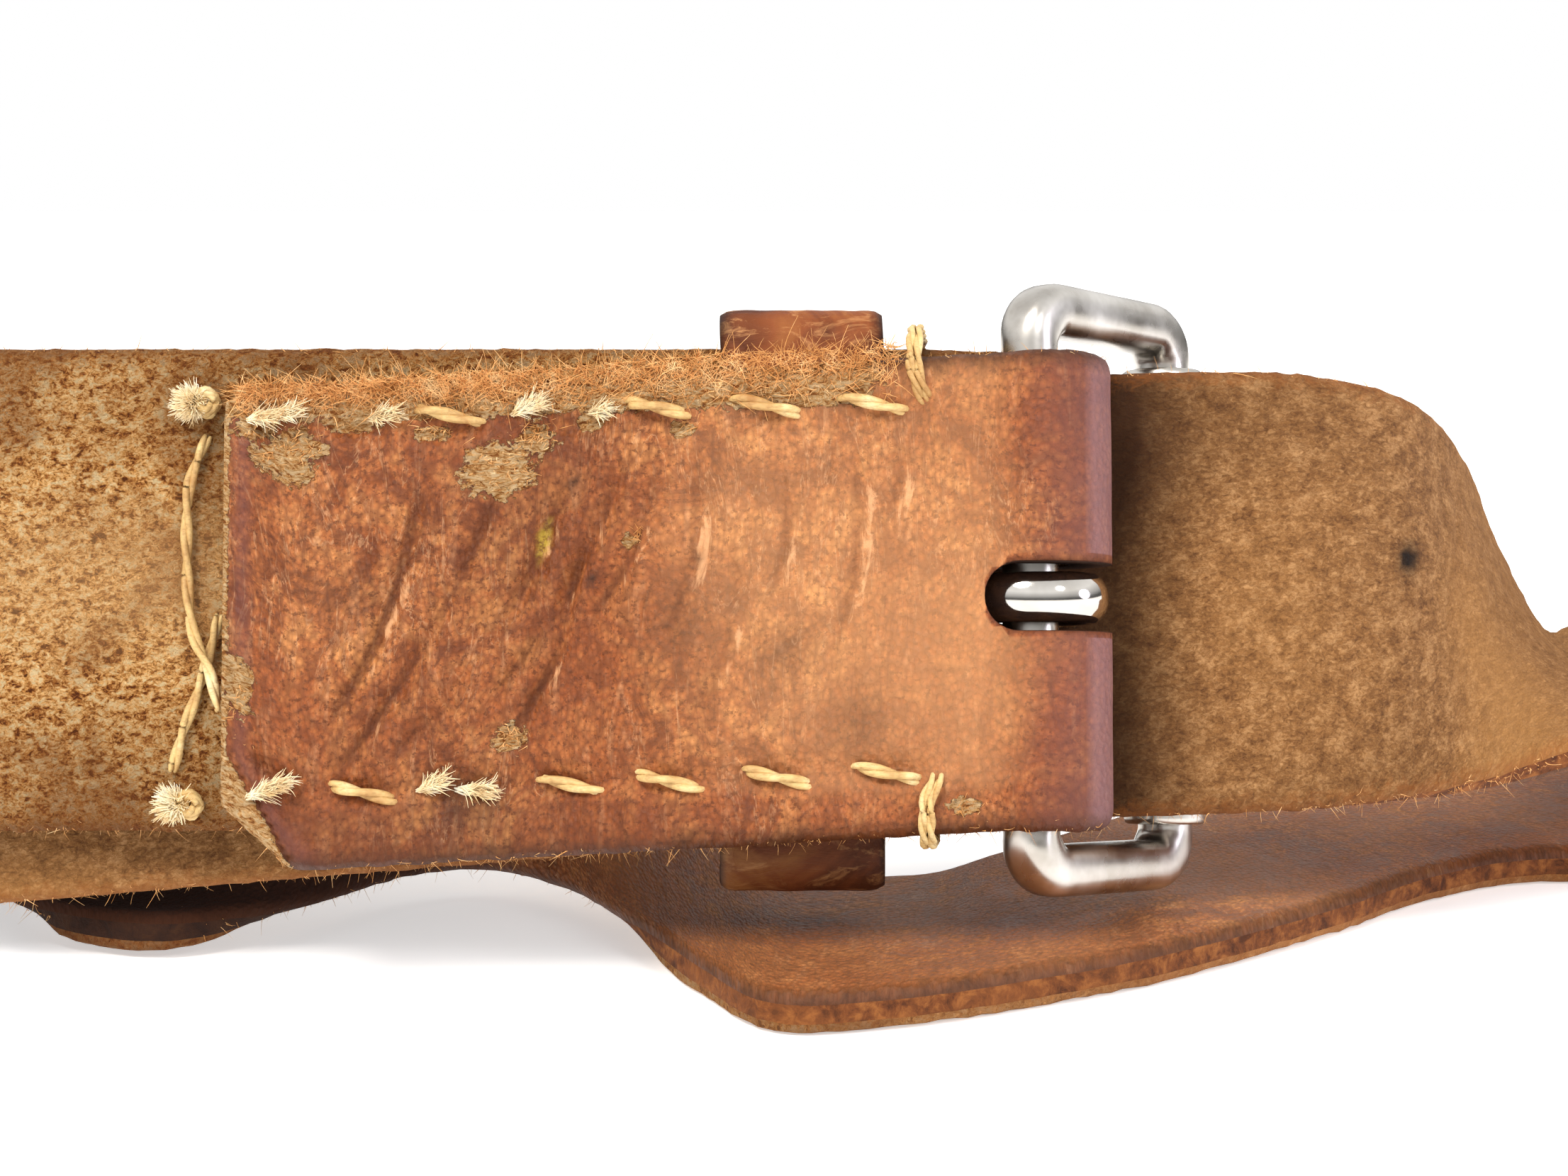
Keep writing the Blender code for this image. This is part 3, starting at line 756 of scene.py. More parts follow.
def grain_material():
    """Smooth tan leather: pebbled, creased, and torn to tan fibre in places."""
    s = Shader("grain_leather")
    uv = s.coordinates()
    along_creases = s.coordinates(scale=(1.0, 0.22, 1.0), turn=0.32)
    clouds = s.noise(uv, 75.0, 4.0, 0.55, 0.4)
    mottle = s.noise(uv, 380.0, 8.0, 0.72, 0.7)
    streaks = s.noise(along_creases, 1000.0, 7.0, 0.72, 0.9)
    cracks = s.noise(along_creases, 420.0, 5.0, 0.62, 1.6)
    fine = s.noise(uv, 2600.0, 4.0, 0.7)
    pebble = s.cells(s.coordinates(scale=(1.1, 0.9, 1.0), turn=0.12), 2900.0)
    tone_and_shade = s.mark("tone_and_shade")
    fold = s.mark("fold")

    base = s.ramp(mottle, (0.40, "743A16"), (0.50, "AC6434"), (0.61, "CE8A50"))
    base = s.tint(base, "964D24", clouds, (0.42, 0.0), (0.58, 0.6))
    base = s.tint(base, "CE966A", streaks, (0.55, 0.0), (0.68, 0.45))
    base = s.tint(base, "64331B", streaks, (0.36, 0.55), (0.45, 0.0))
    crack_line = s.ramp(cracks, (0.486, 0.0), (0.498, 0.5), (0.502, 0.5), (0.514, 0.0))
    crack_mask = s.times(crack_line, s.ramp(clouds, (0.46, 1.0), (0.56, 0.1)))
    base = s.mix(crack_mask, base, linear("DCA87A"))
    base = s.tint(base, "54290F", fine, (0.38, 0.75), (0.47, 0.0))
    base = s.tint(base, "5C3018", pebble, (0.15, 0.0), (0.75, 0.6))

    # Paler and darker by the mark read above; the near-black tint is painted shadow where the return run
    # passes under the strap, and the dark tint paints shade on the billet beside the fold.
    base = s.tint(base, "DDA26C", tone_and_shade, (0.5, 0.0), (1.0, 0.5))
    base = s.tint(base, "52260F", tone_and_shade, (0.0, 0.8), (0.5, 0.0))
    base = s.tint(base, "1E0C04", tone_and_shade, (0.0, 0.9), (0.08, 0.0))
    # Painted shade in the crease valleys.
    base = s.tint(base, "56290F", s.mark("crease"), (0.53, 0.0), (0.76, 0.7))
    base = s.tint(base, "DCA474", s.plus(s.mark("crest"), s.swing(streaks, 3.0)), (0.6, 0.0), (0.9, 0.7))
    # Purple-brown over the fold: partly the burnished bend, partly painted sheen.
    base = s.mix(s.times(fold, 0.6), base, linear("6A3E38"))
    # Painted highlight: a pale line of sheen along the outside of the fold.
    base = s.tint(base, "A08088", fold, (0.93, 0.0), (1.0, 0.28))
    base = s.tint(base, "3C1E0C", s.plus(s.mark("rim"), s.swing(mottle, 1.0)), (0.5, 0.0), (1.0, 0.85))
    # Stains and dark pits, and the awl hole's painted shade.
    base = s.mix(s.mark("stain_and_pit_shade"), base, linear("2C180B"))
    waxy = s.times(s.mark("speck"), s.ramp(fine, (0.42, 0.2), (0.55, 0.8)))
    base = s.mix(waxy, base, linear("C4A83C"))

    torn = s.ramp(s.plus(s.mark("torn"), s.swing(fine, 1.3)), (0.48, 0.0), (0.56, 1.0))
    fibre = s.noise(s.coordinates(scale=(0.6, 1.4, 1.0), turn=0.3), 2900.0, 6.0, 0.75, 1.1)
    fibre_colour = s.ramp(fibre, (0.38, "94501E"), (0.44, "D2904C"), (0.50, "F0BA78"), (0.57, "FFD9A4"))
    colour = s.mix(torn, base, fibre_colour)
    gloss = s.ramp(mottle, (0.38, 0.42), (0.62, 0.62))
    gloss = s.mix(s.ramp(tone_and_shade, (0.0, 1.0), (0.1, 0.0)), gloss, colour_of(0.95))
    rough = s.mix(torn, gloss, colour_of(0.92))

    normal = s.bump(mottle, 0.4, 0.0005)
    normal = s.bump(streaks, 0.6, 0.00025, normal)
    normal = s.bump(pebble, 0.7, 0.00016, normal)
    normal = s.bump(s.times(fibre, torn), 1.0, 0.0008, normal)
    s.constant("Specular IOR Level", 0.24)
    return s.finish(colour, rough, normal)


def flesh_material():
    """The rough side: matted flakes of fibre, turning to an even suede on the billet."""
    s = Shader("flesh_leather")
    uv = s.coordinates()
    slanted = s.coordinates(scale=(0.8, 1.15, 1.0), turn=0.6)
    clouds = s.noise(uv, 120.0, 5.0, 0.6, 0.5)
    clumps = s.noise(slanted, 1600.0, 5.0, 0.7, 0.5)
    flakes = s.noise(slanted, 3900.0, 6.0, 0.75, 0.8)
    blotches = s.noise(uv, 760.0, 5.0, 0.66, 0.2)
    tone_and_shade = s.mark("tone_and_shade")
    nap = s.mark("nap")

    height = s.times(s.plus(clumps, flakes), 0.5)
    base = s.ramp(
        height,
        (0.41, "5A2808"), (0.445, "A65E26"), (0.48, "DA984E"), (0.52, "FFC47C"), (0.57, "FFDFA8"))
    base = s.tint(base, "8A4E22", clouds, (0.40, 0.5), (0.52, 0.0))
    # Paler and darker by the mark read above; where it is low, the dark tints are painted shade beside the
    # fold and painted shadow under the strap.
    base = s.tint(base, "F2BA7C", tone_and_shade, (0.5, 0.0), (1.0, 0.45))
    base = s.tint(base, "74401A", tone_and_shade, (0.0, 0.7), (0.5, 0.0))
    pile = s.plus(s.times(blotches, 0.45), s.times(flakes, 0.55))
    suede = s.ramp(pile, (0.38, "5E3A1E"), (0.50, "8E6238"), (0.62, "BA8C5C"))
    suede = s.tint(suede, "341C0C", tone_and_shade, (0.0, 0.95), (0.5, 0.0))
    suede = s.tint(suede, "C48C4E", tone_and_shade, (0.5, 0.0), (1.0, 0.85))
    base = s.mix(nap, base, suede)
    base = s.tint(base, "8C5122", s.plus(s.mark("rim"), s.swing(clumps, 1.6)), (0.55, 0.0), (1.0, 0.6))
    base = s.mix(s.mark("stain_and_pit_shade"), base, linear("160A04"))

    rough_side = s.maths("SUBTRACT", 1.0, s.times(nap, 0.75))
    normal = s.bump(s.times(clumps, rough_side), 1.0, 0.0009)
    normal = s.bump(s.times(flakes, rough_side), 1.0, 0.0005, normal)
    s.constant("Specular IOR Level", 0.1)
    s.constant("Sheen Weight", 0.04)
    s.constant("Sheen Roughness", 0.5)
    return s.finish(base, 0.85, normal)


def edge_material():
    """Cut and burnished leather edge: dark, with fibre showing through."""
    s = Shader("leather_edge")
    place = s.coordinates("Object")
    layers = s.noise(place, 900.0, 5.0, 0.7, 0.4)
    patches = s.noise(place, 160.0, 3.0, 0.6)
    base = s.ramp(layers, (0.38, "462410"), (0.50, "6A3A1A"), (0.62, "8A5428"))
    base = s.tint(base, "8A5228", patches, (0.46, 0.0), (0.60, 0.3))
    # Painted shade: the edges go near black where the mark is low, beside the fold and under the strap.
    base = s.tint(base, "1E0D05", s.mark("tone_and_shade"), (0.0, 0.9), (0.4, 0.0))
    s.constant("Specular IOR Level", 0.2)
    return s.finish(base, 0.78, s.bump(layers, 0.8, 0.0003))


def keeper_material():
    """Keeper leather: glossier and redder than the tab, with dark edges and painted shade over its lower
    part and inner face.
    """
    s = Shader("keeper_leather")
    place = s.coordinates("Object")
    mottle = s.noise(place, 170.0, 5.0, 0.6, 0.6)
    streaks = s.noise(s.coordinates("Object", (0.4, 1.0, 1.0), 0.3), 700.0, 6.0, 0.72, 1.0)
    pebble = s.cells(place, 2200.0)
    base = s.ramp(mottle, (0.38, "52260E"), (0.50, "844622"), (0.62, "A66A36"))
    base = s.tint(base, "D09660", streaks, (0.53, 0.0), (0.64, 0.6))
    # Dark edges, and painted shade over the lower part and the inner face.
    base = s.tint(base, "1E0B03", s.mark("rim"), (0.3, 0.0), (1.0, 0.92))
    normal = s.bump(streaks, 0.5, 0.0003)
    normal = s.bump(pebble, 0.3, 0.0001, normal)
    s.constant("Specular IOR Level", 0.2)
    return s.finish(base, 0.58, normal)


def thread_material():
    """Waxed linen: honey coloured, with darker fibres."""
    s = Shader("waxed_thread")
    dirt = s.noise(s.coordinates("Object"), 420.0, 4.0, 0.6)
    fibre = s.noise(s.coordinates("Object", (1.0, 3.0, 3.0)), 2600.0, 3.0, 0.6)
    base = s.ramp(dirt, (0.30, "A9783F"), (0.52, "D9B778"), (0.76, "F0E0B0"))
    base = s.tint(base, "8C6233", fibre, (0.32, 0.4), (0.5, 0.0))
    return s.finish(base, 0.55, s.bump(fibre, 0.6, 0.0001))


def fibre_material(name, dark, middle, pale):
    """Loose fibre ends, each tinted by where it grows."""
    s = Shader(name)
    where = s.noise(s.coordinates("Object"), 900.0, 3.0, 0.6)
    return s.finish(s.ramp(where, (0.30, dark), (0.52, middle), (0.74, pale)), 0.85)


def plating_material(name, base_tone, roughness, brushed):
    """Nickel plate: cloudy roughness and faint handling scratches."""
    s = Shader(name)
    clouds = s.noise(s.coordinates("Object"), 230.0, 4.0, 0.6)
    scratches = s.noise(s.coordinates("Object", (1.0, 0.15, 0.15), 0.4), 2200.0, 2.0, 0.5)
    base = s.ramp(clouds, (0.3, base_tone), (0.7, "E2DED8"))
    rough = s.ramp(clouds, (0.3, roughness * 0.75), (0.7, roughness * 1.35))
    s.constant("Metallic", 1.0)
    return s.finish(base, rough, s.bump(scratches, brushed, 0.00004))


# ---------------------------------------------------------------- swept pieces

def oval(half_side, half_up, sides, power=2.0):
    """A ring of (side, up) offsets; a power over 2 squares it off."""
    ring = []
    for k in range(sides):
        angle = 2 * math.pi * k / sides
        c = math.cos(angle)
        s = math.sin(angle)
        side = half_side * math.copysign(abs(c) ** (2 / power), c)
        ring.append((side, half_up * math.copysign(abs(s) ** (2 / power), s)))
    return ring


def loft(bm, rings, closed=False):
    """Smooth faces from each ring of vertices to the next, and from last to first if closed."""
    pairs = list(zip(rings, rings[1:]))
    if closed:
        pairs.append((rings[-1], rings[0]))
    for ring, following in pairs:
        for k in range(len(ring)):
            m = (k + 1) % len(ring)
            bm.faces.new((ring[k], ring[m], following[m], following[k])).smooth = True


def sweep(bm, points, section, closed=False, reference=AXIS):
    """A tube along points: section(i, n) gives its ring as (side, up) offsets in mm."""
    rings = []
    total = len(points)
    for i, point in enumerate(points):
        before = points[(i - 1) % total] if closed else points[max(i - 1, 0)]
        after = points[(i + 1) % total] if closed else points[min(i + 1, total - 1)]
        along = (after - before).normalized()
        side = along.cross(reference)
        if side.length < 0.2:
            side = along.cross(Vector((0.0, 1.0, 0.0)))
        side.normalize()
        up = side.cross(along).normalized()
        rings.append([bm.verts.new(to_world(point + side * a + up * b)) for a, b in section(i, total)])
    loft(bm, rings, closed)
    if not closed:
        bm.faces.new(rings[0][::-1])
        bm.faces.new(rings[-1])


def resample(points, spacing):
    """Catmull-Rom points along a few guide points, in millimetres."""
    dense = []
    for index in range(len(points) - 1):
        steps = max(2, round((points[index + 1] - points[index]).length / spacing))
        dense += [catmull_rom(window_at(points, index), step / steps) for step in range(steps)]
    dense.append(points[-1])
    return dense


def rounded_outline(corners, radius, steps, spacing):
    """A closed outline round four corners, each given by its centre and first angle.

    Each point holds its place and its way out, as two numbers each.
    """
    outline = []
    for centre_u, centre_v, first in corners:
        for step in range(steps + 1):
            angle = math.radians(first + 90 * step / steps)
            out_u = math.cos(angle)
            out_v = math.sin(angle)
            outline.append((centre_u + radius * out_u, centre_v + radius * out_v, out_u, out_v))
    filled = []
    for a, b in zip(outline, outline[1:] + outline[:1]):
        parts = max(1, round(math.hypot(b[0] - a[0], b[1] - a[1]) / spacing))
        for part in range(parts):
            filled.append(tuple(start + (end - start) * part / parts for start, end in zip(a, b)))
    return filled


def add_rope(bm, guide, ply_radius=0.22, lay=4.6, start_turn=0.0, ends=0.3):
    """Two plies twisted round each other along the guide points."""
    path = resample(guide, 0.14)
    run = [0.0]
    for a, b in zip(path, path[1:]):
        run.append(run[-1] + (b - a).length)

    def section(i, total):
        taper = ends + (1 - ends) * math.sqrt(min(i, total - 1 - i, 7) / 7)
        return oval(ply_radius * taper, ply_radius * taper, 7)

    for ply in range(2):
        points = []
        for i, point in enumerate(path):
            along = (path[min(i + 1, len(path) - 1)] - path[max(i - 1, 0)]).normalized()
            side = along.cross(Vector((0.0, 1.0, 0.13))).normalized()
            up = side.cross(along)
            turn = start_turn + math.pi * ply + 2 * math.pi * run[i] / lay
            points.append(point + (side * math.cos(turn) + up * math.sin(turn)) * ply_radius * 0.7)
        sweep(bm, points, section)


def add_fibre(bm, root, direction, length, radius, curl):
    """One tapered fibre, bending by curl over its length."""
    points = []
    for step in range(5):
        t = step / 4
        points.append(root + direction * length * t + curl * t * t * length)

    def section(i, total):
        thin = radius * (1 - 0.8 * i / (total - 1))
        return oval(thin, thin, 3)
    sweep(bm, points, section)


def random_vector(dice, spread=1.0):
    return Vector((dice.uniform(-1, 1), dice.uniform(-1, 1), dice.uniform(-1, 1))) * spread


def add_tuft(bm, dice, start, end, count, width):
    """A stitch that has frayed: a bundle of ends lying from start to end."""
    along = end - start
    for _ in range(count):
        t = dice.uniform(-0.05, 0.8)
        root = start + along * t + random_vector(dice, width * 0.35 * (0.5 + t))
        direction = (along.normalized() + random_vector(dice, 0.55)).normalized()
        direction.y = min(direction.y, 0.15) - 0.12
        length = dice.uniform(0.45, 1.25) * (1.15 - 0.5 * t)
        add_fibre(bm, root, direction, length, dice.uniform(0.035, 0.075), random_vector(dice, 0.35))


def add_brush(bm, dice, centre, size, facing, count):
    """A round head of short ends, all growing out of one knot."""
    for _ in range(count):
        out = random_vector(dice).normalized()
        if out.dot(facing) < -0.25:
            out = -out
        root = centre + out * size * 0.45
        direction = (out + facing * 0.5 + random_vector(dice, 0.3)).normalized()
        length = dice.uniform(0.35, 0.75) * size
        add_fibre(bm, root, direction, length, dice.uniform(0.04, 0.08), random_vector(dice, 0.3))


# ---------------------------------------------------------------- thread

# Whole stitches by their middle x, and frayed ones by start x, length and rise.
UPPER_STITCHES = (-30.9, -19.75, -14.2, -8.6)
UPPER_TUFTS = ((-41.4, 3.0, 0.6), (-35.2, 1.4, 0.2), (-27.6, 1.8, 0.9), (-23.6, 1.2, 0.2))
LOWER_STITCHES = (-35.3, -24.4, -19.2, -13.6, -7.9)
LOWER_TUFTS = ((-41.2, 2.2, 0.9), (-32.4, 1.3, 0.6), (-30.4, 2.0, -0.1))
# Along a stitch, and how far it stands off the leather there.
STITCH_ARCH = ((0.0, -0.45), (0.12, 0.12), (0.35, 0.42), (0.65, 0.42), (0.88, 0.14), (1.0, -0.45))
# Ends of thread that have pulled out beside the tab, as x, z and lift.
LONG_END = (
    (-44.1, 8.2, 0.1), (-45.0, 5.4, 0.5), (-45.1, 1.4, 0.4), (-44.9, -1.2, 0.6),
    (-44.5, -2.8, 0.9), (-43.6, -4.6, 1.4), (-43.1, -6.6, 1.7),
)
SHORT_END = (
    (-43.3, -1.4, 0.6), (-43.7, -3.0, 0.45), (-44.4, -5.4, 0.4), (-45.2, -7.6, 0.4), (-45.8, -9.8, 0.2),
)


def tab_front(x, z, lift=0.0):
    """A point lifted off the tab's grain side."""
    return lean(x, tab_depth(x) - HALF_LEATHER - tab_relief(x, z) - lift, z)


def flesh_front(x, z, lift):
    """A point lifted off the flesh side of the layer behind the tab."""
    return lean(x, BACK_LAYER_Y - HALF_LEATHER - lift, z)


def make_seam(name, side, stitches, thread):
    """Long slanted stitches whose ends dive into the leather."""
    bm = bmesh.new()
    for x in stitches:
        guide = []
        for t, lift in STITCH_ARCH:
            at_x = x - STITCH_LENGTH / 2 + STITCH_LENGTH * t
            guide.append(tab_front(at_x, seam_height(side, x) + 0.42 - 0.84 * t, lift))
        add_rope(bm, guide, start_turn=x)
    return mesh_piece(name, bm, [thread])


def make_edge_wrap(name, side, x, thread):
    """The last stitch, turned up over the edges of both layers."""
    z_seam = seam_height(side, x)
    z_edge = side * (STRAP_WIDTH / 2 - 0.25)
    guide = [
        tab_front(x + 0.7, z_seam - side * 0.2, -0.3),
        tab_front(x + 0.25, z_seam + side * 0.6, 0.35),
        tab_front(x - 0.1, (z_seam + z_edge) / 2, 0.4),
        tab_front(x - 0.15, z_edge - side * 0.5, 0.35),
        lean(x, tab_depth(x) - 0.3, z_edge + side * 0.75),
        lean(x + 0.2, -0.8, z_edge + side * 0.8),
        lean(x + 0.4, 1.4, z_edge + side * 0.75),
        lean(x + 0.5, 2.6, z_edge + side * 0.3),
    ]
    bm = bmesh.new()
    for offset in (0.0, 0.4):
        add_rope(bm, [point + Vector((offset, 0.0, 0.0)) for point in guide], 0.16, 3.0, side + offset)
    return mesh_piece(name, bm, [thread])


def make_loose_end(name, run, thread):
    bm = bmesh.new()
    add_rope(bm, [flesh_front(x, z, lift) for x, z, lift in run], 0.2, 5.4)
    return mesh_piece(name, bm, [thread])


def make_tufts(pale):
    """Stitches along both seams that have worn through and frayed."""
    dice = random.Random(7)
    bm = bmesh.new()
    for side, tufts in ((1, UPPER_TUFTS), (-1, LOWER_TUFTS)):
        for x, length, rise in tufts:
            start = tab_front(x, seam_height(side, x), 0.12)
            end = tab_front(x + length, seam_height(side, x) + rise, 0.3)
            add_tuft(bm, dice, start, end, round(110 + 60 * length), 0.75)
    return mesh_piece("frayed_tufts", bm, [pale])


def make_knot(name, x, z, seed, pale, thread):
    """A wound knot on the flesh side with a frayed head hiding most of it."""
    dice = random.Random(seed)
    bm = bmesh.new()
    for turn in range(4):
        reach = 0.55 - 0.05 * turn
        guide = []
        for step in range(10):
            angle = 2 * math.pi * step / 9
            lift = 0.5 + 0.4 * math.sin(angle + turn * 1.3)
            at_x = x + 0.45 + reach * math.cos(angle) * 0.8
            guide.append(flesh_front(at_x, z + reach * math.sin(angle), lift))
        add_rope(bm, guide, 0.2, 2.4, turn, 0.8)
    for face in bm.faces:
        face.material_index = 1
    add_brush(bm, dice, flesh_front(x - 0.3, z, 0.5), 1.15, Vector((-0.6, -0.7, 0.1)), 520)
    return mesh_piece(name, bm, [pale, thread])


# ---------------------------------------------------------------- loose fibre on the leather

def add_band_fuzz(bm, dice):
    """Curly fibres on the frayed band along the tab's upper seam."""
    for _ in range(5200):
        x = dice.uniform(-42.2, -7.4)
        z_low = seam_height(1, x) + 0.5
        z_high = TAB_SKEW * x + STRAP_WIDTH / 2 + 0.1
        z = z_low + (z_high - z_low) * dice.random() ** 0.8
        heading = Vector((dice.uniform(-1.0, 1.0), dice.uniform(-0.8, -0.05), dice.uniform(-0.7, 0.9)))
        length = 0.25 + 0.75 * dice.random() ** 1.6
        radius = dice.uniform(0.022, 0.045)
        add_fibre(bm, tab_front(x, z, -0.08), heading.normalized(), length, radius, random_vector(dice, 1.1))


def add_patch_fuzz(bm, dice):
    """Shorter fibres in the torn patches."""
    for _ in range(1100):
        centre_x, centre_z, half_x, half_z = dice.choice(TORN)
        x = centre_x + dice.gauss(0, 0.5) * half_x
        z = centre_z + dice.gauss(0, 0.5) * half_z
        if from_tab_end(x, z) < 0.5 or torn_amount(x, z) < 0.5:
            continue
        heading = Vector((dice.uniform(-1.0, 0.6), -0.25, dice.uniform(-0.9, 0.4)))
        length = dice.uniform(0.25, 0.7)
        radius = dice.uniform(0.022, 0.04)
        add_fibre(bm, tab_front(x, z, -0.06), heading.normalized(), length, radius, random_vector(dice, 0.6))


def make_fuzz(tan):
    dice = random.Random(11)
    bm = bmesh.new()
    add_band_fuzz(bm, dice)
    add_patch_fuzz(bm, dice)
    return mesh_piece("tab_fuzz", bm, [tan])


def near_buckle(point):
    return point.x < 40 and point.y < 24 and point.z > -14


def make_edge_fuzz(rows, tan):
    """Fibres along the cut edges of the buckled stretch."""
    dice = random.Random(13)
    bm = bmesh.new()
    for before, row, after in zip(rows[1:], rows[2:-2], rows[3:]):
        if not near_buckle(row[1]):
            continue
        along = (after[1] - before[1]).normalized()
        for edge, opposite in ((row[0], row[2]), (row[2], row[0])):
            outward = (edge - opposite).normalized()
            across = outward.cross(along)
            for _ in range(8):
                root = edge - outward * dice.uniform(0.05, 0.5) + across * dice.uniform(-0.8, 0.8)
                root += along * dice.uniform(-0.5, 0.5)
                if root.z < TABLE_Z + 0.4:
                    continue
                heading = outward * 0.7 + along * dice.uniform(-1.2, 1.2) + random_vector(dice, 0.8)
                length = 0.18 + 0.5 * dice.random() ** 5
                radius = dice.uniform(0.02, 0.04)
                add_fibre(bm, root, heading.normalized(), length, radius, random_vector(dice, 1.2))
    return mesh_piece("edge_fuzz", bm, [tan])


# ---------------------------------------------------------------- keeper

def make_keeper(leather):
    """A band of leather round both layers, its edges softly rounded."""
    left, right = -16.7, -8.0
    front, back, top, bottom = -0.6, 6.6, 14.4, -15.5
    corner = 1.7
    half_thickness = 0.625
    half_width = (right - left) / 2
    middle = (right + left) / 2
    across = [-half_width + 2 * half_width * k / 24 for k in range(25)]
    outline = rounded_outline((
        (back - corner, top - corner, 0), (front + corner, top - corner, 90),
        (front + corner, bottom + corner, 180), (back - corner, bottom + corner, 270),
    ), corner, 8, 0.8)
    bm = bmesh.new()
    rim_and_shade_layer = bm.verts.layers.float.new("rim")
    rings = []
    for y, z, out_y, out_z in outline:
        section = []
        for w in across:
            rough = 0.06 * noise_at(w, z, 0.9, 12.0, y)
            section.append((w, (half_thickness + rough) * edge_fall(half_width - abs(w) + 0.02)))
        for w in reversed(across):
            section.append((w, -half_thickness * edge_fall(half_width - abs(w) + 0.02)))
        sideways = 0.25 * noise_at(z * 0.3, y * 0.3, 0.5, 4.0, 2.0)
        # Painted shade: the keeper darkens towards its bottom.
        shade_below = 0.75 * smooth_step(-z, 9.0, 13.0)
        ring = []
        for w, out in section:
            vert = bm.verts.new(to_world(lean(middle + w + sideways, y + out_y * out, z + out_z * out)))
            # Dark at the edges, plus the painted shade below; the inner face is painted fully dark as shade.
            rim_and_shade = max(1 - min((half_width - abs(w)) / 1.1, 1.0), shade_below)
            vert[rim_and_shade_layer] = rim_and_shade if out > 0 else 1.0
            ring.append(vert)
        rings.append(ring)
    loft(bm, rings, closed=True)
    return mesh_piece("keeper", bm, [leather])


# ---------------------------------------------------------------- buckle

def from_heel(distance, offset, z):
    """A point by its distance from the heel bar towards the roller, and its offset from that line."""
    along_x = math.cos(FRAME_HEADING)
    along_y = math.sin(FRAME_HEADING)
    return lean(distance * along_x - offset * along_y, distance * along_y + offset * along_x, z)


def make_frame(plating):
    """The cast frame: round at its two bars, flatter along its sides."""
    span = 15.05
    corner = 2.0
    outline = rounded_outline((
        (BARS_APART - corner, span - corner, 0), (corner - 0.3, span - corner, 90),
        (corner - 0.3, corner - span, 180), (BARS_APART - corner, corner - span, 270),
    ), corner, 12, 0.7)
    bar = oval(1.5, 1.5, 28)
    flat = oval(1.42, 1.5, 28, 2.9)

    def section(i, total):
        on_side = smooth_step(abs(outline[i][1]), 12.6, 14.2)
        return [(a[0] + (b[0] - a[0]) * on_side, a[1] + (b[1] - a[1]) * on_side) for a, b in zip(bar, flat)]

    bm = bmesh.new()
    points = [from_heel(distance, 0.0, z) for distance, z, _, _ in outline]
    sweep(bm, points, section, closed=True, reference=from_heel(0.0, 1.0, 0.0))
    return mesh_piece("frame_casting", bm, [plating])


def make_tongue(plating):
    """A loop round the heel bar and a tapering prong past the roller."""
    radius = 0.9
    start = FRAME_HEADING + math.radians(68)
    guide = []
    for step in range(41):
        angle = start - math.radians(338) * (1 - step / 40)
        reach = BAR_RADIUS + 0.2 + radius + 0.45 * max(0.0, math.cos(angle)) + 0.012 * (20 - step / 2)
        guide.append(lean(reach * math.cos(angle), reach * math.sin(angle), TONGUE_Z))
    prong = ((4.0, 2.85), (6.0, 3.05), (8.0, 3.2), (10.5, 3.45), (BARS_APART, 3.55), (BARS_APART + 2.4, 3.2))
    for distance, offset in prong:
        guide.append(from_heel(distance, offset, TONGUE_Z))

    def section(i, total):
        along = i / (total - 1)
        taper = 1 - 0.35 * smooth_step(along, 0.6, 1.0)
        end = min((total - 1 - i) / 3, i / 3, 1.0)
        round_off = 0.35 + 0.65 * math.sqrt(1 - (1 - end) ** 2)
        wide = (1.34 - 0.36 * smooth_step(along, 0.5, 0.65)) * taper * round_off
        return oval(radius * taper * round_off, wide, 24)

    bm = bmesh.new()
    sweep(bm, resample(guide, 0.3), section)
    return mesh_piece("tongue_prong", bm, [plating])


def make_roller(plating):
    """A rolled tube with softened ends, slipped over the far bar."""
    half = 12.8
    profile = (
        (1.75, -half), (2.12, -half), (2.27, 0.12 - half), (2.3, 0.35 - half),
        (2.3, half - 0.35), (2.27, half - 0.12), (2.12, half), (1.75, half),
    )
    bm = bmesh.new()
    rings = []
    for radius, z in profile:
        rings.append([bm.verts.new(ROLLER + lean(x, y, z) * MM) for x, y in oval(radius, radius, 48)])
    loft(bm, rings, closed=True)
    return mesh_piece("roller_tube", bm, [plating])


# ---------------------------------------------------------------- studio

def facing(direction):
    """The turn that points a lamp or camera along a direction."""
    return direction.to_track_quat("-Z", "Y").to_euler()


def make_floor():
    bm = bmesh.new()
    bmesh.ops.create_grid(bm, x_segments=1, y_segments=1, size=6.0)
    mesh = bpy.data.meshes.new("floor")
    bm.to_mesh(mesh)
    bm.free()
    s = Shader("floor_white")
    colour = s.ramp(s.noise(s.coordinates("Object"), 3.0), (0.3, 0.93), (0.7, 0.95))
    s.constant("Emission Color", (1.0, 1.0, 1.0, 1.0))
    s.constant("Emission Strength", 0.45)
    floor = new_object("floor", mesh, [s.finish(colour, 0.9)])


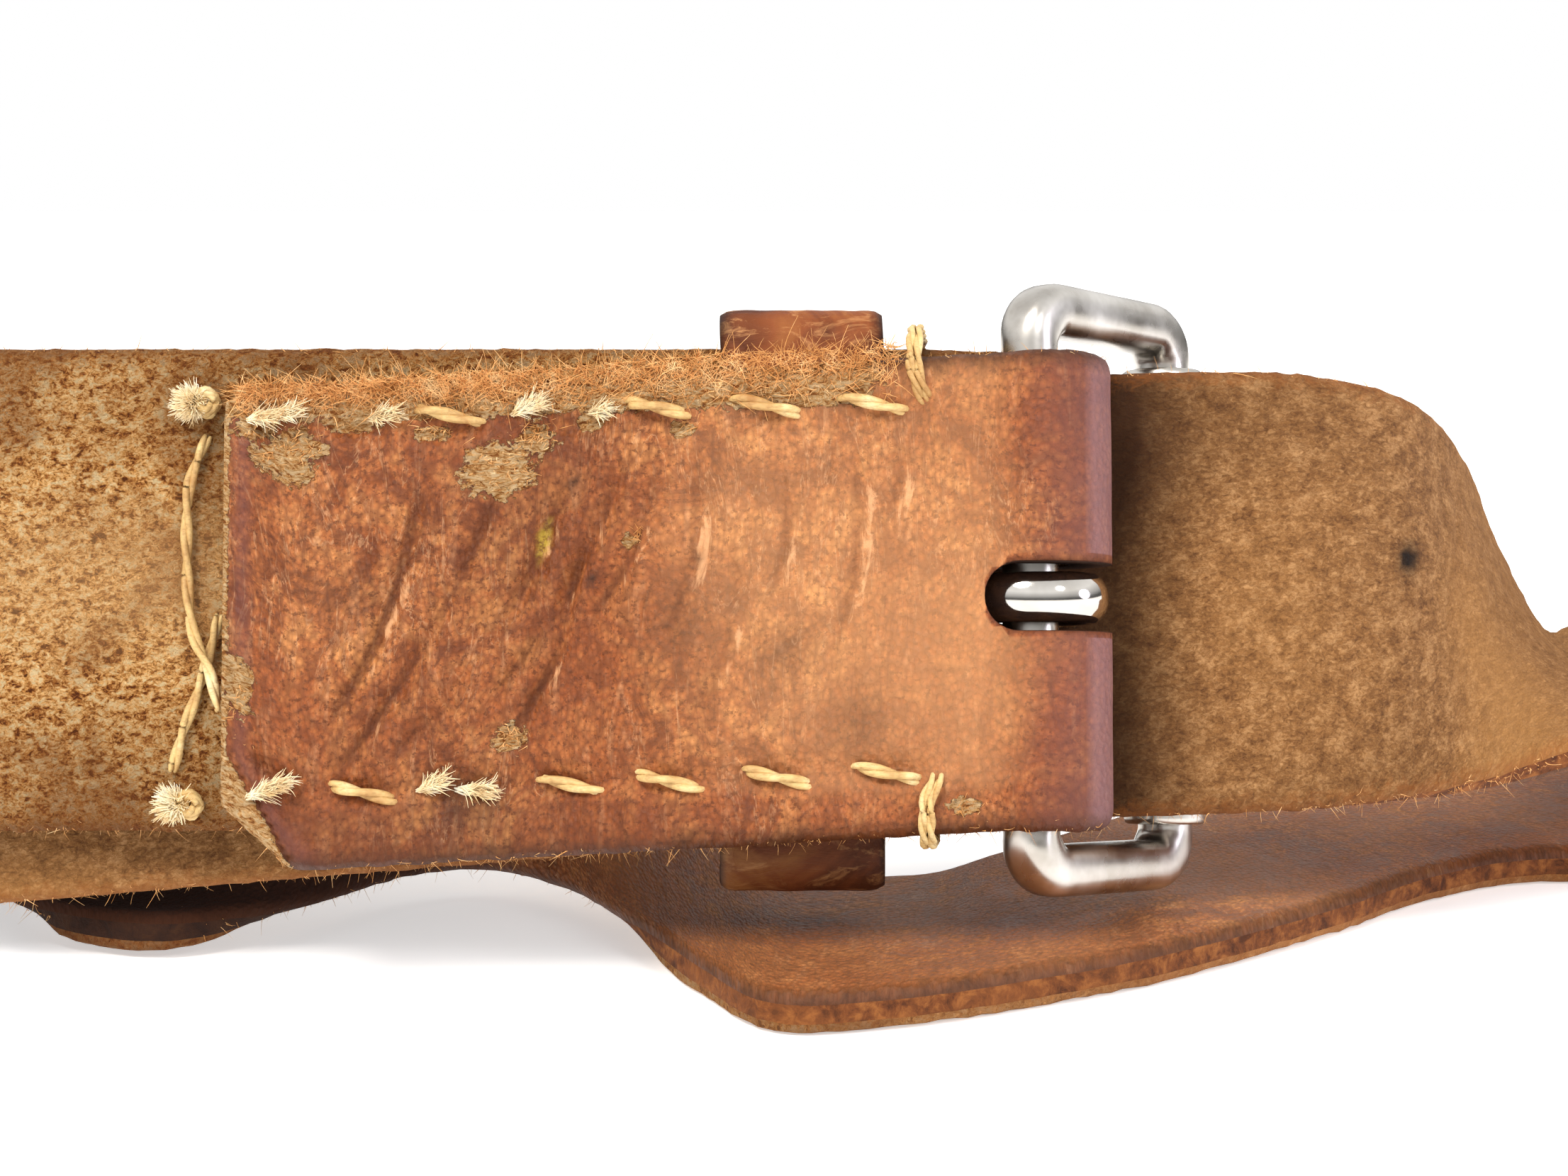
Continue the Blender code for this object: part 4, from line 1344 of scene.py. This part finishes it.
def make_world():
    """White behind the strap; what the metal mirrors has a dark low band."""
    world = bpy.data.worlds.new("studio")
    bpy.context.scene.world = world
    world.use_nodes = True
    n = Nodes(world.node_tree)
    split = n.node("ShaderNodeSeparateXYZ")
    n.feed(n.node("ShaderNodeTexCoord").outputs["Generated"], split.inputs[0])
    height = n.node("ShaderNodeMapRange")
    n.feed(split.outputs["Z"], height.inputs["Value"])
    n.feed(-1.0, height.inputs["From Min"])
    n.feed(1.0, height.inputs["From Max"])
    room = n.ramp(
        height.outputs[0],
        (0.30, 0.85), (0.47, 0.25), (0.53, 0.10), (0.60, 0.60), (0.72, 1.2), (1.0, 0.8))
    ray = n.node("ShaderNodeLightPath")
    mirrored = n.mix(ray.outputs["Is Glossy Ray"], colour_of(0.6), room)
    seen = n.mix(ray.outputs["Is Camera Ray"], mirrored, colour_of(1.0))
    background = n.tree.nodes["Background"]
    n.feed(seen, background.inputs["Color"])
    n.feed(1.0, background.inputs["Strength"])


def area_light(name, at, aim, size, watts, colour=(1.0, 1.0, 1.0)):
    data = bpy.data.lights.new(name, "AREA")
    data.shape = "DISK"
    data.size = size
    data.energy = watts
    data.color = colour
    light = new_object(name, data)
    light.location = at
    light.rotation_euler = facing(aim - at)


def make_lights():
    """A broad lamp above, in front and to the left, a glint on the metal and a sheen on the fold."""
    data = bpy.data.lights.new("sun", "SUN")
    data.energy = 2.75
    data.angle = math.radians(24)
    data.color = (1.0, 0.95, 0.88)
    sun = new_object("sun", data)
    sun.rotation_euler = facing(Vector((0.34, 0.52, -0.78)))
    buckle = HEEL + Vector((-0.01, 0.0, 0.0))
    area_light("glint", buckle + Vector((0.20, -0.30, 0.25)), buckle, 0.10, 0.5)
    area_light("fold_sheen", buckle + Vector((0.40, -0.10, 0.08)), buckle, 0.16, 0.45, (0.86, 0.84, 1.0))


def make_camera():
    """Almost square on to the buckle, as far off as a hand-held close-up."""
    centre_x = -13.3
    distance = 150.0
    framed_width = 83.5
    data = bpy.data.cameras.new("camera")
    data.sensor_width = 36.0
    data.lens = data.sensor_width * distance / framed_width
    data.clip_start = 0.01
    pitch = math.radians(8.0)
    aim = to_world(lean(centre_x, 0.0, 0.0))
    camera = new_object("camera", data)
    camera.location = aim + Vector((0.0, -math.cos(pitch), math.sin(pitch))) * distance * MM
    camera.rotation_euler = facing(aim - camera.location)
    bpy.context.scene.camera = camera


# ---------------------------------------------------------------- assembly

def make_leather(rows):
    leathers = [grain_material(), flesh_material(), edge_material()]
    strap = new_object("strap_leather", strap_mesh(rows), leathers)
    cut_away(strap, [
        slot_cutter("tab_slot", -2.9, 7.0, -7.0, 0.05, SLOT_HALF_WIDTH, False),
        slot_cutter("back_slot", -6.8, 7.0, -0.05, 4.4, SLOT_HALF_WIDTH, False),
        slot_cutter("tongue_hole", -2.2, 3.2, 4.6, 9.0, 1.15, True),
    ])
    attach(strap, "strap")
    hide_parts("strap_buckle_end", "strap_left_bend", "strap_back_run", "strap_floor_run",
                "strap_right_bend", "strap_billet")

    keeper = make_keeper(keeper_material())
    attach(keeper, "strap")
    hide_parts("keeper_loop")


def make_thread():
    thread = thread_material()
    pale = fibre_material("thread_ends", "E2C088", "FFECC2", "FFFAE6")
    thread_pieces = (
        (make_edge_wrap("edge_wrap_upper", 1, -6.6, thread), "thread_upper_edge_wrap"),
        (make_edge_wrap("edge_wrap_lower", -1, -6.0, thread), "thread_lower_edge_wrap"),
        (make_loose_end("loose_thread_long", LONG_END, thread), "thread_loose_long"),
        (make_loose_end("loose_thread_short", SHORT_END, thread), "thread_loose_short"),
        (make_seam("stitches_upper", 1, UPPER_STITCHES, thread), "thread_upper_seam"),
        (make_seam("stitches_lower", -1, LOWER_STITCHES, thread), "thread_lower_seam"),
        (make_knot("knot_frayed_upper", -44.5, 9.9, 3, pale, thread), "knot_upper"),
        (make_knot("knot_frayed_lower", -45.2, -11.5, 5, pale, thread), "knot_lower"),
    )
    for piece, node in thread_pieces:
        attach(piece, "strap")
        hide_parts(node)
    tufts = make_tufts(pale)
    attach(tufts, "strap")


def make_leather_fibre(rows):
    tan = fibre_material("leather_fibre", "BC7A38", "ECB06C", "FFDEA6")
    for fuzz in (make_fuzz(tan), make_edge_fuzz(rows, tan)):
        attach(fuzz, "strap")


def make_buckle():
    satin = plating_material("satin_plating", "A9A298", 0.27, 0.12)
    mirror = plating_material("mirror_plating", "C4BDB4", 0.09, 0.05)
    for piece, body, node, slot in (
        (make_frame(satin), "frame", "buckle_frame", "frame_plating"),
        (make_roller(satin), "roller", "buckle_roller", "roller_plating"),
        (make_tongue(mirror), "tongue", "buckle_tongue", "tongue_plating"),
    ):
        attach(piece, body)
        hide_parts(node)


def main():
    rows = strap_rows()
    make_leather(rows)
    make_thread()
    make_leather_fibre(rows)
    make_buckle()
    make_floor()
    make_world()
    make_lights()
    make_camera()
    bpy.context.scene.view_settings.view_transform = "Standard"


main()
